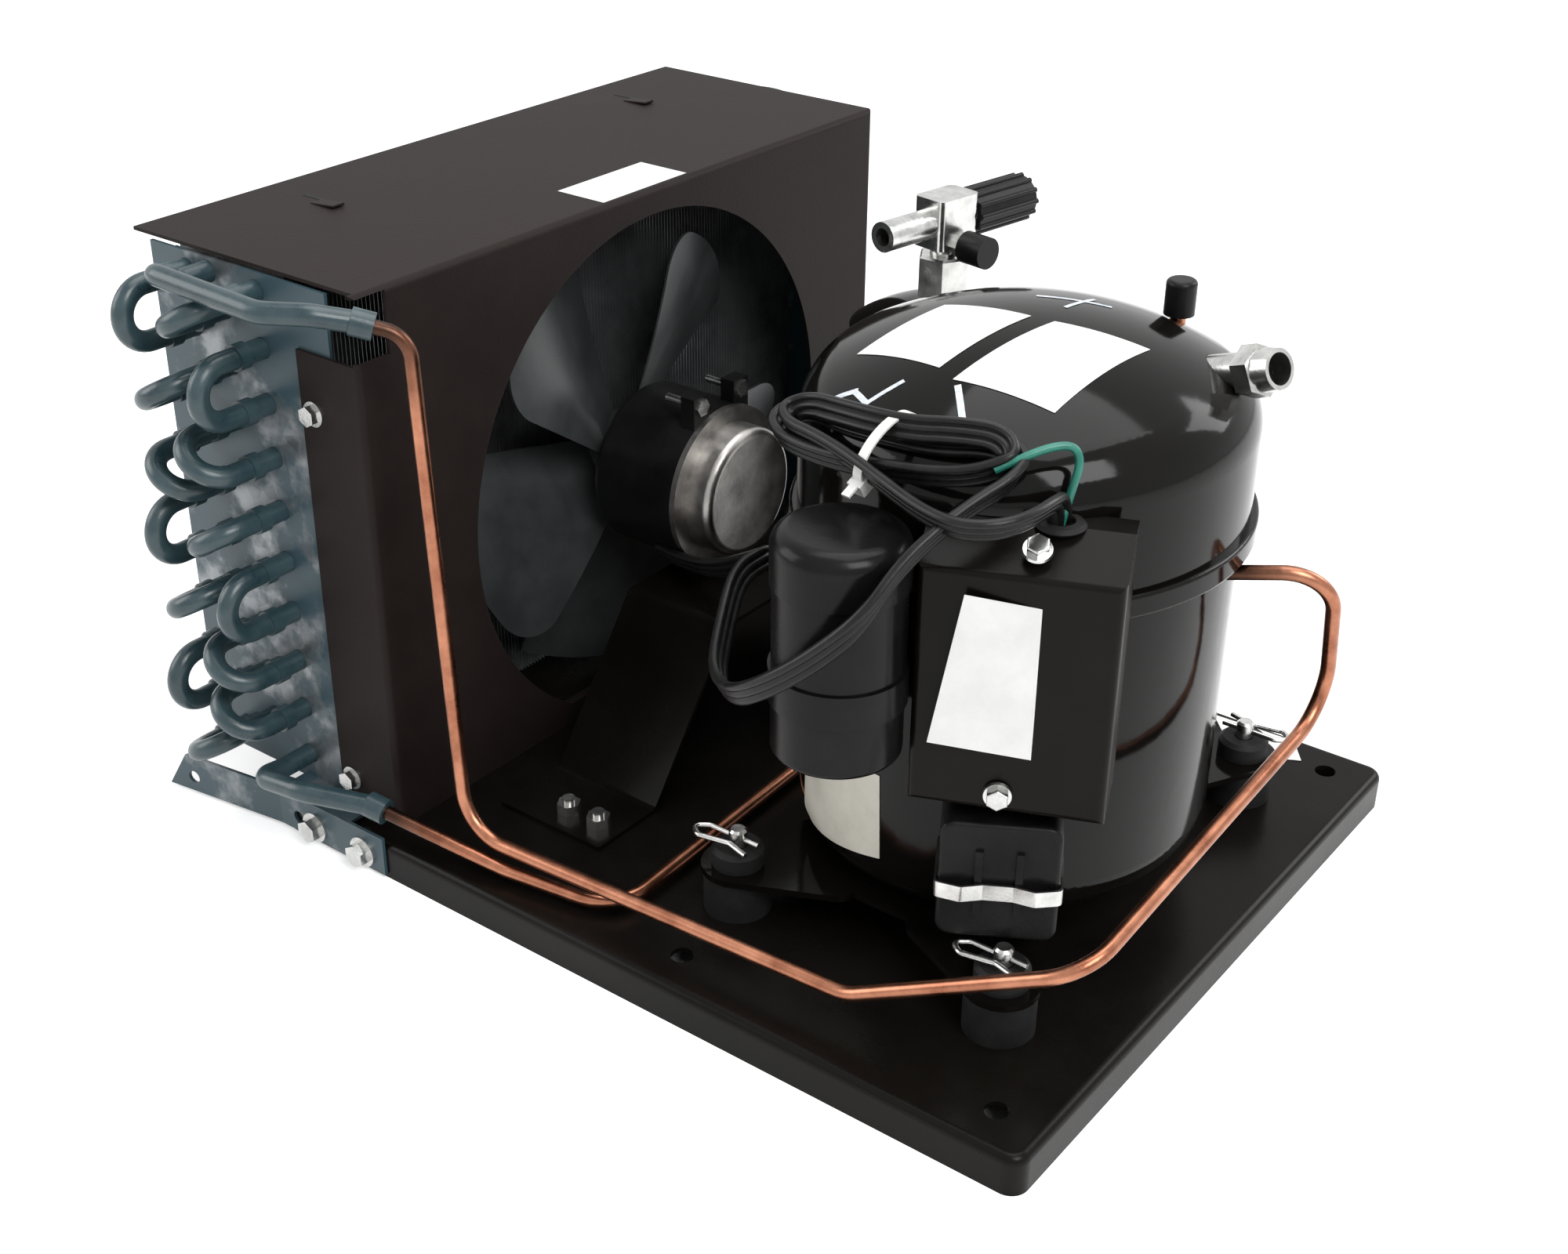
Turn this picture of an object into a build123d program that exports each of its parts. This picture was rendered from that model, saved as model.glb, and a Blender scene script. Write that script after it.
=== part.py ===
from build123d import *
import os
from math import cos, radians, sin, sqrt, tan

os.makedirs("parts", exist_ok=True)

# A refrigeration condensing unit: a hermetic compressor, a fan-cooled finned coil, a liquid
# receiver with its service valve and the tubes between them, on one pressed base pan.
# Millimetres. +Z is up, +X runs from the coil to the compressor, -Y is the wiring side.
# The origin is on the ground under the middle of the whole unit.

# ------------------------------------------------------------------ base pan
PAN_X, PAN_Y = 31.5, -18.0
PAN_LENGTH, PAN_WIDTH, PAN_HEIGHT = 405.0, 340.0, 18.5
PAN_SHEET = 2.0
PAN_CORNER_R, PAN_EDGE_R = 8.0, 4.0
MOUNT_SPAN_X, MOUNT_SPAN_Y = 155.0, 300.0
MOUNT_SHIFT_X = 102.5
MOUNT_HOLE_R = 5.0

# ------------------------------------------------------------------ clearances
BOLT_CLEARANCE = 0.3
SEAT_GAP = 0.3
TUBE_CLEARANCE = 0.15
SHAFT_CLEARANCE = 0.05

# ------------------------------------------------------------------ tubes and coil
TUBE_R, TUBE_WALL = 4.76, 0.8
TUBE_BEND_R = 22.0
COPPER_R, COPPER_WALL = 3.175, 0.8
COIL_X = PAN_X - 220.0
COIL_ROW_SPACING = 22.0
TUBE_PITCH = 25.4
TUBE_LOW_Z = 34.0
TUBES_PER_ROW = 10
FIN_DEPTH, FIN_LOW_Z, FIN_HEIGHT = 66.0, 22.0, 248.0
PLATE_SHEET = 1.6
PLATE_NEAR_Y, PLATE_FAR_Y = PAN_Y - 154.4, PAN_Y + 207.0
PLATE_LEFT, PLATE_RIGHT = 45.0, 65.0
PLATE_LOW_Z, PLATE_RISE = 20.0, 1.0
PLATE_TOP_Z = FIN_LOW_Z + FIN_HEIGHT + PLATE_RISE
COLLAR_R, COLLAR_LENGTH = 5.9, 6.0
BEND_NEAR_GAP, BEND_FAR_GAP = 23.0, 4.0
FEED_SHIFT_X, FEED_Z = -8.0, 264.8
STRIP_LEFT, STRIP_RIGHT, STRIP_CUT = 52.0, 87.0, 12.0
STRIP_LOW_Z = 2.0
STRIP_FLARE = 10.0
STRIP_BOLT_Z, STRIP_HOLE_R = 10.0, 3.3
STRIP_BOLTS = (42.0, 74.0)
STRIP_SPARE_HOLES = (-36.0, 30.0)

# ------------------------------------------------------------------ fan shroud
SHROUD_FRONT_X = PAN_X - 136.5
SHROUD_LENGTH, SHROUD_RISE = 141.0, 3.0
SHROUD_TOP_Z = PLATE_TOP_Z + SHROUD_RISE
SHROUD_SHEET, SHROUD_BEND_R = 1.6, 3.0
FLANGE_WIDTH, FLANGE_LOW_Z, NOTCH_HEIGHT = 38.0, 24.0, 31.0
FLANGE_TOP_Z = SHROUD_TOP_Z - NOTCH_HEIGHT
FOLD_INSET = 3.0
NOTCH_WIDTH = 18.0
SHROUD_FOOT, SHROUD_FOOT_BOLT = 15.0, 8.5
FAN_HOLE_R, FAN_HOLE_FLAT_Z = 127.0, 29.0
SHROUD_SCREW_INSET = 30.0
SHROUD_SCREW_Z = (34.0, 216.0)

# ------------------------------------------------------------------ fan and its motor
FAN_Y, FAN_Z = PAN_Y + 31.0, 135.0
FAN_X = PAN_X - 162.0
FAN_R, FAN_BLADES, FAN_FIRST_ANGLE = 113.0, 5, 50.0
BLADE_SHEET, BLADE_CAMBER = 1.2, 5.0
BLADE_ROOT_PITCH, BLADE_TIP_PITCH = 33.0, 17.0
BLADE_HALF_ANGLE, BLADE_TIP_ROUND = 27.0, 20.0
BLADE_ROOT_HALF = 11.0
FAN_BOSS_R, FAN_BOSS_LENGTH = 19.0, 14.0
HUB_R, HUB_LENGTH = 9.0, 18.0
SHAFT_R = 4.0
MOTOR_FRONT_X, MOTOR_BACK_X = PAN_X - 146.0, PAN_X - 97.0
MOTOR_R, MOTOR_WALL, MOTOR_NOSE_R, MOTOR_NOSE_LENGTH = 40.0, 2.0, 10.0, 6.0
MOTOR_CAP_R, MOTOR_CAP_LENGTH, MOTOR_CAP_LIP = 32.0, 17.5, 3.0
STATOR_LENGTH, ROTOR_R, ROTOR_GAP = 26.0, 20.0, 0.6
MOTOR_LUG_WIDTH, MOTOR_LUG_HEIGHT, MOTOR_LUG_LENGTH = 11.0, 10.0, 8.0
MOTOR_LUG_SPAN = 30.0
MOTOR_STUD_R, MOTOR_STUD_LENGTH = 2.0, 22.0

# ------------------------------------------------------------------ motor stand
STAND_X, STAND_WIDTH, STAND_SHEET = PAN_X - 112.5, 60.0, 2.0
STAND_FAR_WIDTH = 28.5
STAND_NEAR_FOOT_Y, STAND_NEAR_KNEE_Y = PAN_Y - 115.0, PAN_Y - 75.0
STAND_NEAR_TOP_Y, STAND_FAR_TOP_Y = PAN_Y - 20.0, PAN_Y + 82.0
STAND_FAR_KNEE_Y, STAND_FAR_FOOT_Y = PAN_Y + 128.0, PAN_Y + 160.0
STAND_BEND_R = 6.0
STAND_BOLT_X, STAND_BOLT_SPAN = PAN_X - 74.0, 18.0
STAND_NEAR_BOLT_Y, STAND_FAR_BOLT_Y = PAN_Y - 101.0, PAN_Y + 146.0
STAND_STUD_R, STAND_NUT_FLATS, STAND_NUT_HEIGHT = 3.0, 10.0, 5.0

# ------------------------------------------------------------------ compressor
COMP_X, COMP_Y = PAN_X + 87.5, PAN_Y
SHELL_RX, SHELL_RY, SHELL_WALL = 91.5, 98.5, 3.0
SHELL_TOP_Z, SHELL_CROWN_R, SHELL_KNUCKLE_R = 275.0, 167.0, 26.0
SHELL_BOTTOM_Z, SHELL_BOTTOM_R = 41.0, 20.0
LAP_CLEARANCE = 0.3
SEAM_Z, SEAM_HEIGHT, SEAM_LIP = 186.0, 10.0, 3.0
FOOT_SHEET = 3.0
FOOT_SPAN_X, FOOT_SPAN_Y = 133.0, 214.0
FOOT_EYE_R = 16.0
RUBBER_R, RUBBER_NECK_R, RUBBER_TOP_R, RUBBER_TOP_Z = 15.0, 9.0, 11.5, 50.0
STUD_R, STUD_TOP_Z, STUD_HEAD_R, STUD_HEAD_HEIGHT = 4.0, 58.0, 8.0, 4.0
CLIP_Z, CLIP_WIRE_R = 53.3, 1.2
PUMP_R, PUMP_LOW_Z, PUMP_HEIGHT = 62.0, 96.0, 62.0
PUMP_BLOCK_R, PUMP_BLOCK_HEIGHT = 56.0, 34.0
PUMP_ROTOR_R, PUMP_SHAFT_R = 30.0, 9.0
PUMP_SPRING_R, PUMP_SPRING_SPAN = 8.0, 72.0

# ------------------------------------------------------------------ compressor fittings
SUCTION_ROOT = (COMP_X + 66.5, COMP_Y + 32.0, 255.0)
SUCTION_LEAN = (26.5, -7.0, 11.0)
SUCTION_TUBE_R, SUCTION_BORE_R, SUCTION_LENGTH = 8.0, 6.4, 30.0
SUCTION_HEX_FLATS, SUCTION_HEX_AT, SUCTION_HEX_LENGTH = 19.0, 14.0, 8.0
PROCESS_X, PROCESS_Y = COMP_X + 30.0, COMP_Y + 65.0
PROCESS_TUBE_R, PROCESS_TUBE_WALL, PROCESS_TUBE_RISE = 3.2, 0.8, 13.0
PROCESS_CAP_R, PROCESS_CAP_HEIGHT, PROCESS_CAP_TOP = 6.5, 15.0, 2.0
BOX_BEARING, BOX_REACH = -60.0, 121.0
BOX_Z, BOX_WIDTH, BOX_HEIGHT, BOX_ROLL = 174.0, 76.0, 113.0, -7.0
BOX_SHEET, BOX_FLAP_DEPTH, BOX_FLAP_DROP = 1.2, 22.0, 12.0
BOX_BACK, BOX_CORNER_R = 34.0, 3.0
SCREW_HEAD_R, SCREW_HEAD_HEIGHT, SCREW_SHANK_R, SCREW_FLATS = 5.7, 1.2, 2.0, 8.0
COVER_REACH, COVER_WIDTH, COVER_LOW_Z, COVER_HEIGHT = 119.0, 48.0, 56.0, 54.0
COVER_WALL, COVER_RIB, COVER_CORNER_R = 2.0, 1.5, 6.0
BAIL_Z, BAIL_WIDTH, BAIL_SHEET, BAIL_WAVE = 80.0, 7.0, 1.0, 2.5
CAP_X, CAP_Y = PAN_X + 87.25, PAN_Y - 130.5
CAP_R, CAP_LOW_Z, CAP_HEIGHT, CAP_LID_R, CAP_LID_HEIGHT = 25.5, 137.0, 87.0, 26.5, 22.0
CAP_BAND_Z, CAP_BAND_HEIGHT, CAP_BAND_SHEET = 160.0, 14.0, 1.2
CAP_ARM_SHIFT, CAP_ARM_WIDTH = -6.0, 16.0

# ------------------------------------------------------------------ receiver and service valve
TANK_X, TANK_Y, TANK_R, TANK_WALL = PAN_X - 36.5, PAN_Y + 126.5, 44.5, 2.0
TANK_TOP_Z, TANK_DOME_R, TANK_FOOT_R = 217.0, 75.0, 9.0
VALVE_TURN = -10.0
VALVE_NUT_Z, VALVE_NUT_HEIGHT, VALVE_NUT_FLATS = 219.0, 20.0, 23.0
VALVE_SPUD_R = 7.0
VALVE_BLOCK_Z = 256.0
VALVE_BLOCK_X, VALVE_BLOCK_Y, VALVE_BLOCK_HEIGHT = 18.5, 26.0, 24.0
FLARE_LENGTH, FLARE_R, FLARE_BORE_R, FLARE_TIP_R = 30.0, 7.2, 4.3, 5.4
STEM_NECK_R, STEM_NECK_LENGTH, STEM_R, STEM_LENGTH = 8.0, 7.0, 3.6, 26.0
STEM_SQUARE, STEM_SQUARE_LENGTH = 4.6, 8.0
STEM_CAP_R, STEM_CAP_LENGTH, STEM_CAP_WALL, STEM_CAP_RIBS = 10.5, 40.0, 2.0, 12
GAUGE_Z, GAUGE_NECK_R, GAUGE_NECK_LENGTH, GAUGE_BORE_R = 245.5, 4.0, 16.0, 2.0
GAUGE_CAP_R, GAUGE_CAP_LENGTH, GAUGE_CAP_WALL = 7.6, 14.0, 1.6
GAUGE_COLLAR_R, GAUGE_COLLAR_LENGTH = 5.2, 4.0


def upright(x, y, z):
    """A level plane through a point."""
    return Plane(origin=(x, y, z))


def facing_near(y):
    """An upright plane at this Y, looking along -Y, with X to its right."""
    return Plane(origin=(0, y, 0), x_dir=(1, 0, 0), z_dir=(0, -1, 0))


def facing_right(x):
    """An upright plane at this X, looking along +X, with Y to its right."""
    return Plane(origin=(x, 0, 0), x_dir=(0, 1, 0), z_dir=(1, 0, 0))


def bend_radii(points, largest):
    """One radius for each corner of a route: this one, or the largest that its runs hold."""
    corners = [Vector(*point) for point in points]
    radii = []
    for before, corner, after in zip(corners, corners[1:], corners[2:]):
        turn = (corner - before).get_angle(after - corner)
        shorter = min((corner - before).length, (after - corner).length)
        radii.append(min(largest, 0.45 * shorter / tan(radians(turn / 2))))
    return radii


def round_tube(points, outer_r, wall, largest_bend):
    """A tube of one wall along straight runs joined by tangent arcs."""
    with BuildPart() as tube:
        with BuildLine() as route:
            FilletPolyline(*points, radius=bend_radii(points, largest_bend))
        with BuildSketch(Plane(origin=route.line @ 0, z_dir=route.line % 0)):
            Circle(outer_r)
            Circle(outer_r - wall, mode=Mode.SUBTRACT)
        sweep()
    return tube.part


def hex_bolt(shank_r, shank_length, flats, head_height, washer_r=0.0, washer=0.0):
    """A bolt lying along +Z, the underside of its head or washer at the origin."""
    with BuildPart() as bolt:
        if washer:
            with BuildSketch():
                Circle(washer_r)
            extrude(amount=washer)
        with BuildSketch(Plane.XY.offset(washer)):
            RegularPolygon(flats / 2, 6, major_radius=False)
        extrude(amount=head_height)
        with BuildSketch():
            Circle(shank_r)
        extrude(amount=-shank_length)
    return bolt.part


# ------------------------------------------------------------------ base pan
FEET = [
    (COMP_X + side_x * FOOT_SPAN_X / 2, COMP_Y + side_y * FOOT_SPAN_Y / 2)
    for side_x in (-1, 1)
    for side_y in (-1, 1)
]
STAND_BOLTS = [
    (STAND_BOLT_X - STAND_BOLT_SPAN / 2, STAND_NEAR_BOLT_Y),
    (STAND_BOLT_X + STAND_BOLT_SPAN / 2, STAND_NEAR_BOLT_Y),
    (STAND_X + STAND_FAR_WIDTH / 2, STAND_FAR_BOLT_Y),
]
SHROUD_FOOT_BOLTS = [
    (SHROUD_FRONT_X - SHROUD_FOOT_BOLT, FAN_Y - 90.0),
    (SHROUD_FRONT_X - SHROUD_FOOT_BOLT, FAN_Y + 90.0),
]
STRIP_BOLT_XS = [COIL_X + shift for shift in STRIP_BOLTS]



def pan_form(inset):
    """The pressed tray's outline drawn in by a sheet's thickness, its upper edge rounded."""
    with BuildPart() as form:
        with BuildSketch(upright(PAN_X, PAN_Y, 0)):
            RectangleRounded(
                PAN_LENGTH - 2 * inset, PAN_WIDTH - 2 * inset, PAN_CORNER_R - inset
            )
        extrude(amount=PAN_HEIGHT - inset)
        fillet(form.faces().sort_by(Axis.Z)[-1].edges(), PAN_EDGE_R - inset)
    return form.part


with BuildPart() as base_pan:
    add(pan_form(0))
    add(pan_form(PAN_SHEET), mode=Mode.SUBTRACT)
    with BuildSketch(Plane.XY.offset(PAN_HEIGHT)):
        with Locations((PAN_X + MOUNT_SHIFT_X, PAN_Y)):
            with GridLocations(MOUNT_SPAN_X, MOUNT_SPAN_Y, 2, 2):
                Circle(MOUNT_HOLE_R)
        with Locations(*FEET):
            Circle(STUD_R + BOLT_CLEARANCE)
        with Locations(*STAND_BOLTS):
            Circle(STAND_STUD_R + BOLT_CLEARANCE)
        with Locations(*SHROUD_FOOT_BOLTS):
            Circle(SCREW_SHANK_R + BOLT_CLEARANCE)
    extrude(amount=-2 * PAN_SHEET, mode=Mode.SUBTRACT)
    with BuildSketch(facing_near(PAN_Y - PAN_WIDTH / 2)):
        with Locations(*[(x, STRIP_BOLT_Z) for x in STRIP_BOLT_XS]):
            Circle(STRIP_HOLE_R)
    extrude(amount=-PAN_WIDTH, mode=Mode.SUBTRACT)
base_pan.part.label = "base_pan"
export_step(base_pan.part, "parts/base_pan.step")

# ------------------------------------------------------------------ condenser coil
INNER_X, OUTER_X = COIL_X + COIL_ROW_SPACING, COIL_X - COIL_ROW_SPACING
TUBE_PLACES = {"feed": (COIL_X + FEED_SHIFT_X, FEED_Z)}
for row in range(TUBES_PER_ROW):
    height = TUBE_LOW_Z + TUBE_PITCH * row
    TUBE_PLACES["inner", row] = (INNER_X, height)
    TUBE_PLACES["outer", row] = (OUTER_X, height)
    if row < TUBES_PER_ROW - 1:
        TUBE_PLACES["middle", row] = (COIL_X, height + TUBE_PITCH / 2)

# The circuit, tube to tube: the bends at the far end, then those at the wiring side.
# Rows count up from the bottom.
FAR_BENDS = (
    ("feed", ("inner", 9)),
    (("middle", 8), ("outer", 9)),
    (("outer", 8), ("outer", 7)),
    (("middle", 7), ("inner", 8)),
    (("inner", 7), ("inner", 6)),
    (("middle", 6), ("outer", 6)),
    (("middle", 5), ("inner", 5)),
    (("middle", 4), ("outer", 5)),
    (("outer", 4), ("outer", 3)),
    (("middle", 3), ("inner", 4)),
    (("inner", 3), ("inner", 2)),
    (("middle", 2), ("outer", 2)),
    (("outer", 1), ("outer", 0)),
    (("middle", 0), ("middle", 1)),
    (("inner", 1), ("inner", 0)),
)
NEAR_BENDS = (
    (("outer", 9), ("outer", 8)),
    (("inner", 9), ("middle", 8)),
    (("middle", 7), ("outer", 7)),
    (("inner", 8), ("inner", 7)),
    (("outer", 6), ("middle", 5)),
    (("middle", 6), ("inner", 6)),
    (("outer", 5), ("outer", 4)),
    (("inner", 5), ("middle", 4)),
    (("middle", 3), ("outer", 3)),
    (("inner", 4), ("inner", 3)),
    (("outer", 2), ("outer", 1)),
    (("middle", 2), ("inner", 2)),
    (("middle", 1), ("inner", 1)),
    (("outer", 0), ("middle", 0)),
)
TUBE_NEAR_Y = PLATE_NEAR_Y - 9.5
TUBE_FAR_Y = PLATE_FAR_Y + BEND_FAR_GAP


def u_bend(start, end, leg_y, turn_y, side):
    """A tube bent back on itself: two legs along Y and a half turn away from the coil."""
    (start_x, start_z), (end_x, end_z) = start, end
    reach = sqrt((end_x - start_x) ** 2 + (end_z - start_z) ** 2) / 2
    middle = ((start_x + end_x) / 2, turn_y + side * reach, (start_z + end_z) / 2)
    with BuildPart() as bend:
        with BuildLine():
            Line((start_x, leg_y, start_z), (start_x, turn_y, start_z))
            ThreePointArc((start_x, turn_y, start_z), middle, (end_x, turn_y, end_z))
            Line((end_x, turn_y, end_z), (end_x, leg_y, end_z))
        with BuildSketch(Plane(origin=(start_x, leg_y, start_z), z_dir=(0, side, 0))):
            Circle(TUBE_R)
        sweep()
    return bend.part


# Hairpins: pairs of tubes bent back at the far end, expanded into the fins.
with BuildPart() as coil_hairpins:
    for first, second in FAR_BENDS:
        add(u_bend(TUBE_PLACES[first], TUBE_PLACES[second], TUBE_NEAR_Y, TUBE_FAR_Y, 1))
coil_hairpins.part.label = "coil_hairpins"
export_step(coil_hairpins.part, "parts/coil_hairpins.step")

# Return bends, brazed into the belled tube ends on the wiring side.
with BuildPart() as coil_return_bends:
    for first, second in NEAR_BENDS:
        ends = (TUBE_PLACES[first], TUBE_PLACES[second])
        add(u_bend(*ends, TUBE_NEAR_Y, PLATE_NEAR_Y - BEND_NEAR_GAP, -1))
        with BuildSketch(facing_near(TUBE_NEAR_Y)):
            with Locations(*ends):
                Circle(COLLAR_R)
        extrude(amount=COLLAR_LENGTH)
coil_return_bends.part.label = "coil_return_bends"
export_step(coil_return_bends.part, "parts/coil_return_bends.step")

with BuildPart() as coil_fins:
    with BuildSketch(facing_near(PLATE_NEAR_Y + PLATE_SHEET)):
        with Locations((COIL_X, FIN_LOW_Z + FIN_HEIGHT / 2)):
            Rectangle(FIN_DEPTH, FIN_HEIGHT)
        with Locations(*TUBE_PLACES.values()):
            Circle(TUBE_R + SHAFT_CLEARANCE, mode=Mode.SUBTRACT)
    extrude(amount=-(PLATE_FAR_Y - PLATE_NEAR_Y - 2 * PLATE_SHEET))
coil_fins.part.label = "coil_fins"
export_step(coil_fins.part, "parts/coil_fins.step")

PLATE_LEFT_X, PLATE_RIGHT_X = COIL_X - PLATE_LEFT, COIL_X + PLATE_RIGHT
PAN_LEFT_X = PAN_X - PAN_LENGTH / 2
PAN_NEAR_Y, PAN_FAR_Y = PAN_Y - PAN_WIDTH / 2, PAN_Y + PAN_WIDTH / 2
STRIP_TOP_Z = PLATE_LOW_Z + PLATE_SHEET


def end_plate(outer_y, rim_y, side):
    """An upright tube sheet, a ledge over the pan and a strip hanging down its rim."""
    with BuildPart() as plate:
        with BuildSketch(facing_near(outer_y)):
            with Locations(((PLATE_LEFT_X + PLATE_RIGHT_X) / 2, (PLATE_LOW_Z + PLATE_TOP_Z) / 2)):
                Rectangle(PLATE_RIGHT_X - PLATE_LEFT_X, PLATE_TOP_Z - PLATE_LOW_Z)
            with Locations(*TUBE_PLACES.values()):
                Circle(TUBE_R + TUBE_CLEARANCE, mode=Mode.SUBTRACT)
            screw_x = SHROUD_FRONT_X - SHROUD_SCREW_INSET
            with Locations(*[(screw_x, screw_z) for screw_z in SHROUD_SCREW_Z]):
                Circle(SCREW_SHANK_R + BOLT_CLEARANCE, mode=Mode.SUBTRACT)
        extrude(amount=side * PLATE_SHEET)
        ledge_left = max(PLATE_LEFT_X, PAN_LEFT_X)
        ledge_ends = sorted((outer_y, rim_y))
        with BuildSketch(Plane.XY.offset(PLATE_LOW_Z)):
            with Locations(((ledge_left + PLATE_RIGHT_X) / 2, sum(ledge_ends) / 2)):
                Rectangle(PLATE_RIGHT_X - ledge_left, ledge_ends[1] - ledge_ends[0])
        extrude(amount=PLATE_SHEET)
    return plate.part


def rim_strip(rim_y, side, left_x, right_x):
    """The hanging strip's plan, straight along the rim and sprung outward past its end."""
    outside = rim_y - side * PLATE_SHEET
    with BuildPart() as strip:
        with BuildSketch(Plane.XY.offset(STRIP_LOW_Z)):
            with BuildLine():
                Polyline(
                    (right_x, rim_y),
                    (PAN_LEFT_X, rim_y),
                    (left_x, rim_y - side * STRIP_FLARE),
                    (left_x, outside - side * STRIP_FLARE),
                    (PAN_LEFT_X, outside),
                    (right_x, outside),
                    close=True,
                )
            make_face()
        extrude(amount=STRIP_TOP_Z - STRIP_LOW_Z)
        with BuildSketch(facing_near(rim_y)):
            with Locations(*[(x, STRIP_BOLT_Z) for x in STRIP_BOLT_XS]):
                Circle(STRIP_HOLE_R)
        extrude(amount=2 * STRIP_FLARE, both=True, mode=Mode.SUBTRACT)
    return strip.part


STRIP_LEFT_X = COIL_X - STRIP_LEFT
with BuildPart() as end_plate_near:
    add(end_plate(PLATE_NEAR_Y, PAN_NEAR_Y, -1))
    add(rim_strip(PAN_NEAR_Y, 1, STRIP_LEFT_X, COIL_X + STRIP_RIGHT))
    # the strip's free end is cut on the slant and has two spare holes
    with BuildSketch(facing_near(PAN_NEAR_Y)):
        with BuildLine():
            Polyline(
                (STRIP_LEFT_X, STRIP_LOW_Z),
                (STRIP_LEFT_X, STRIP_TOP_Z),
                (STRIP_LEFT_X + STRIP_CUT, STRIP_TOP_Z),
                close=True,
            )
        make_face()
        with Locations(*[(COIL_X + shift, STRIP_BOLT_Z) for shift in STRIP_SPARE_HOLES]):
            Circle(STRIP_HOLE_R)
    extrude(amount=2 * STRIP_FLARE, both=True, mode=Mode.SUBTRACT)
end_plate_near.part.label = "end_plate_near"
export_step(end_plate_near.part, "parts/end_plate_near.step")

with BuildPart() as end_plate_far:
    add(end_plate(PLATE_FAR_Y, PAN_FAR_Y, 1))
    add(rim_strip(PAN_FAR_Y, -1, PAN_LEFT_X - 1, SHROUD_FRONT_X - SHROUD_BEND_R))
end_plate_far.part.label = "end_plate_far"
export_step(end_plate_far.part, "parts/end_plate_far.step")

# ------------------------------------------------------------------ fan shroud
SHROUD_LEFT_X = SHROUD_FRONT_X - SHROUD_LENGTH
FLANGE_NEAR_Y, FLANGE_FAR_Y = PLATE_NEAR_Y - SHROUD_SHEET, PLATE_FAR_Y + SHROUD_SHEET
SHROUD_MID_Y = (FLANGE_NEAR_Y + FLANGE_FAR_Y) / 2
SHROUD_WIDTH = FLANGE_FAR_Y - FLANGE_NEAR_Y
SHROUD_LOW_Z = PAN_HEIGHT
SCREW_X = SHROUD_FRONT_X - SHROUD_SCREW_INSET


def shroud_form(inset):
    """The shroud's box drawn in by a sheet's thickness, open below and to the coil."""
    with BuildPart() as form:
        with BuildSketch(Plane.XY.offset(SHROUD_LOW_Z)):
            with Locations((SHROUD_FRONT_X - inset - SHROUD_LENGTH / 2, SHROUD_MID_Y)):
                Rectangle(SHROUD_LENGTH, SHROUD_WIDTH - 2 * inset)
        extrude(amount=SHROUD_TOP_Z - SHROUD_LOW_Z - inset)
        front = form.faces().sort_by(Axis.X)[-1]
        fillet([edge for edge in front.edges() if edge.center().Z > SHROUD_LOW_Z], SHROUD_BEND_R - inset)
    return form.part


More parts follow.
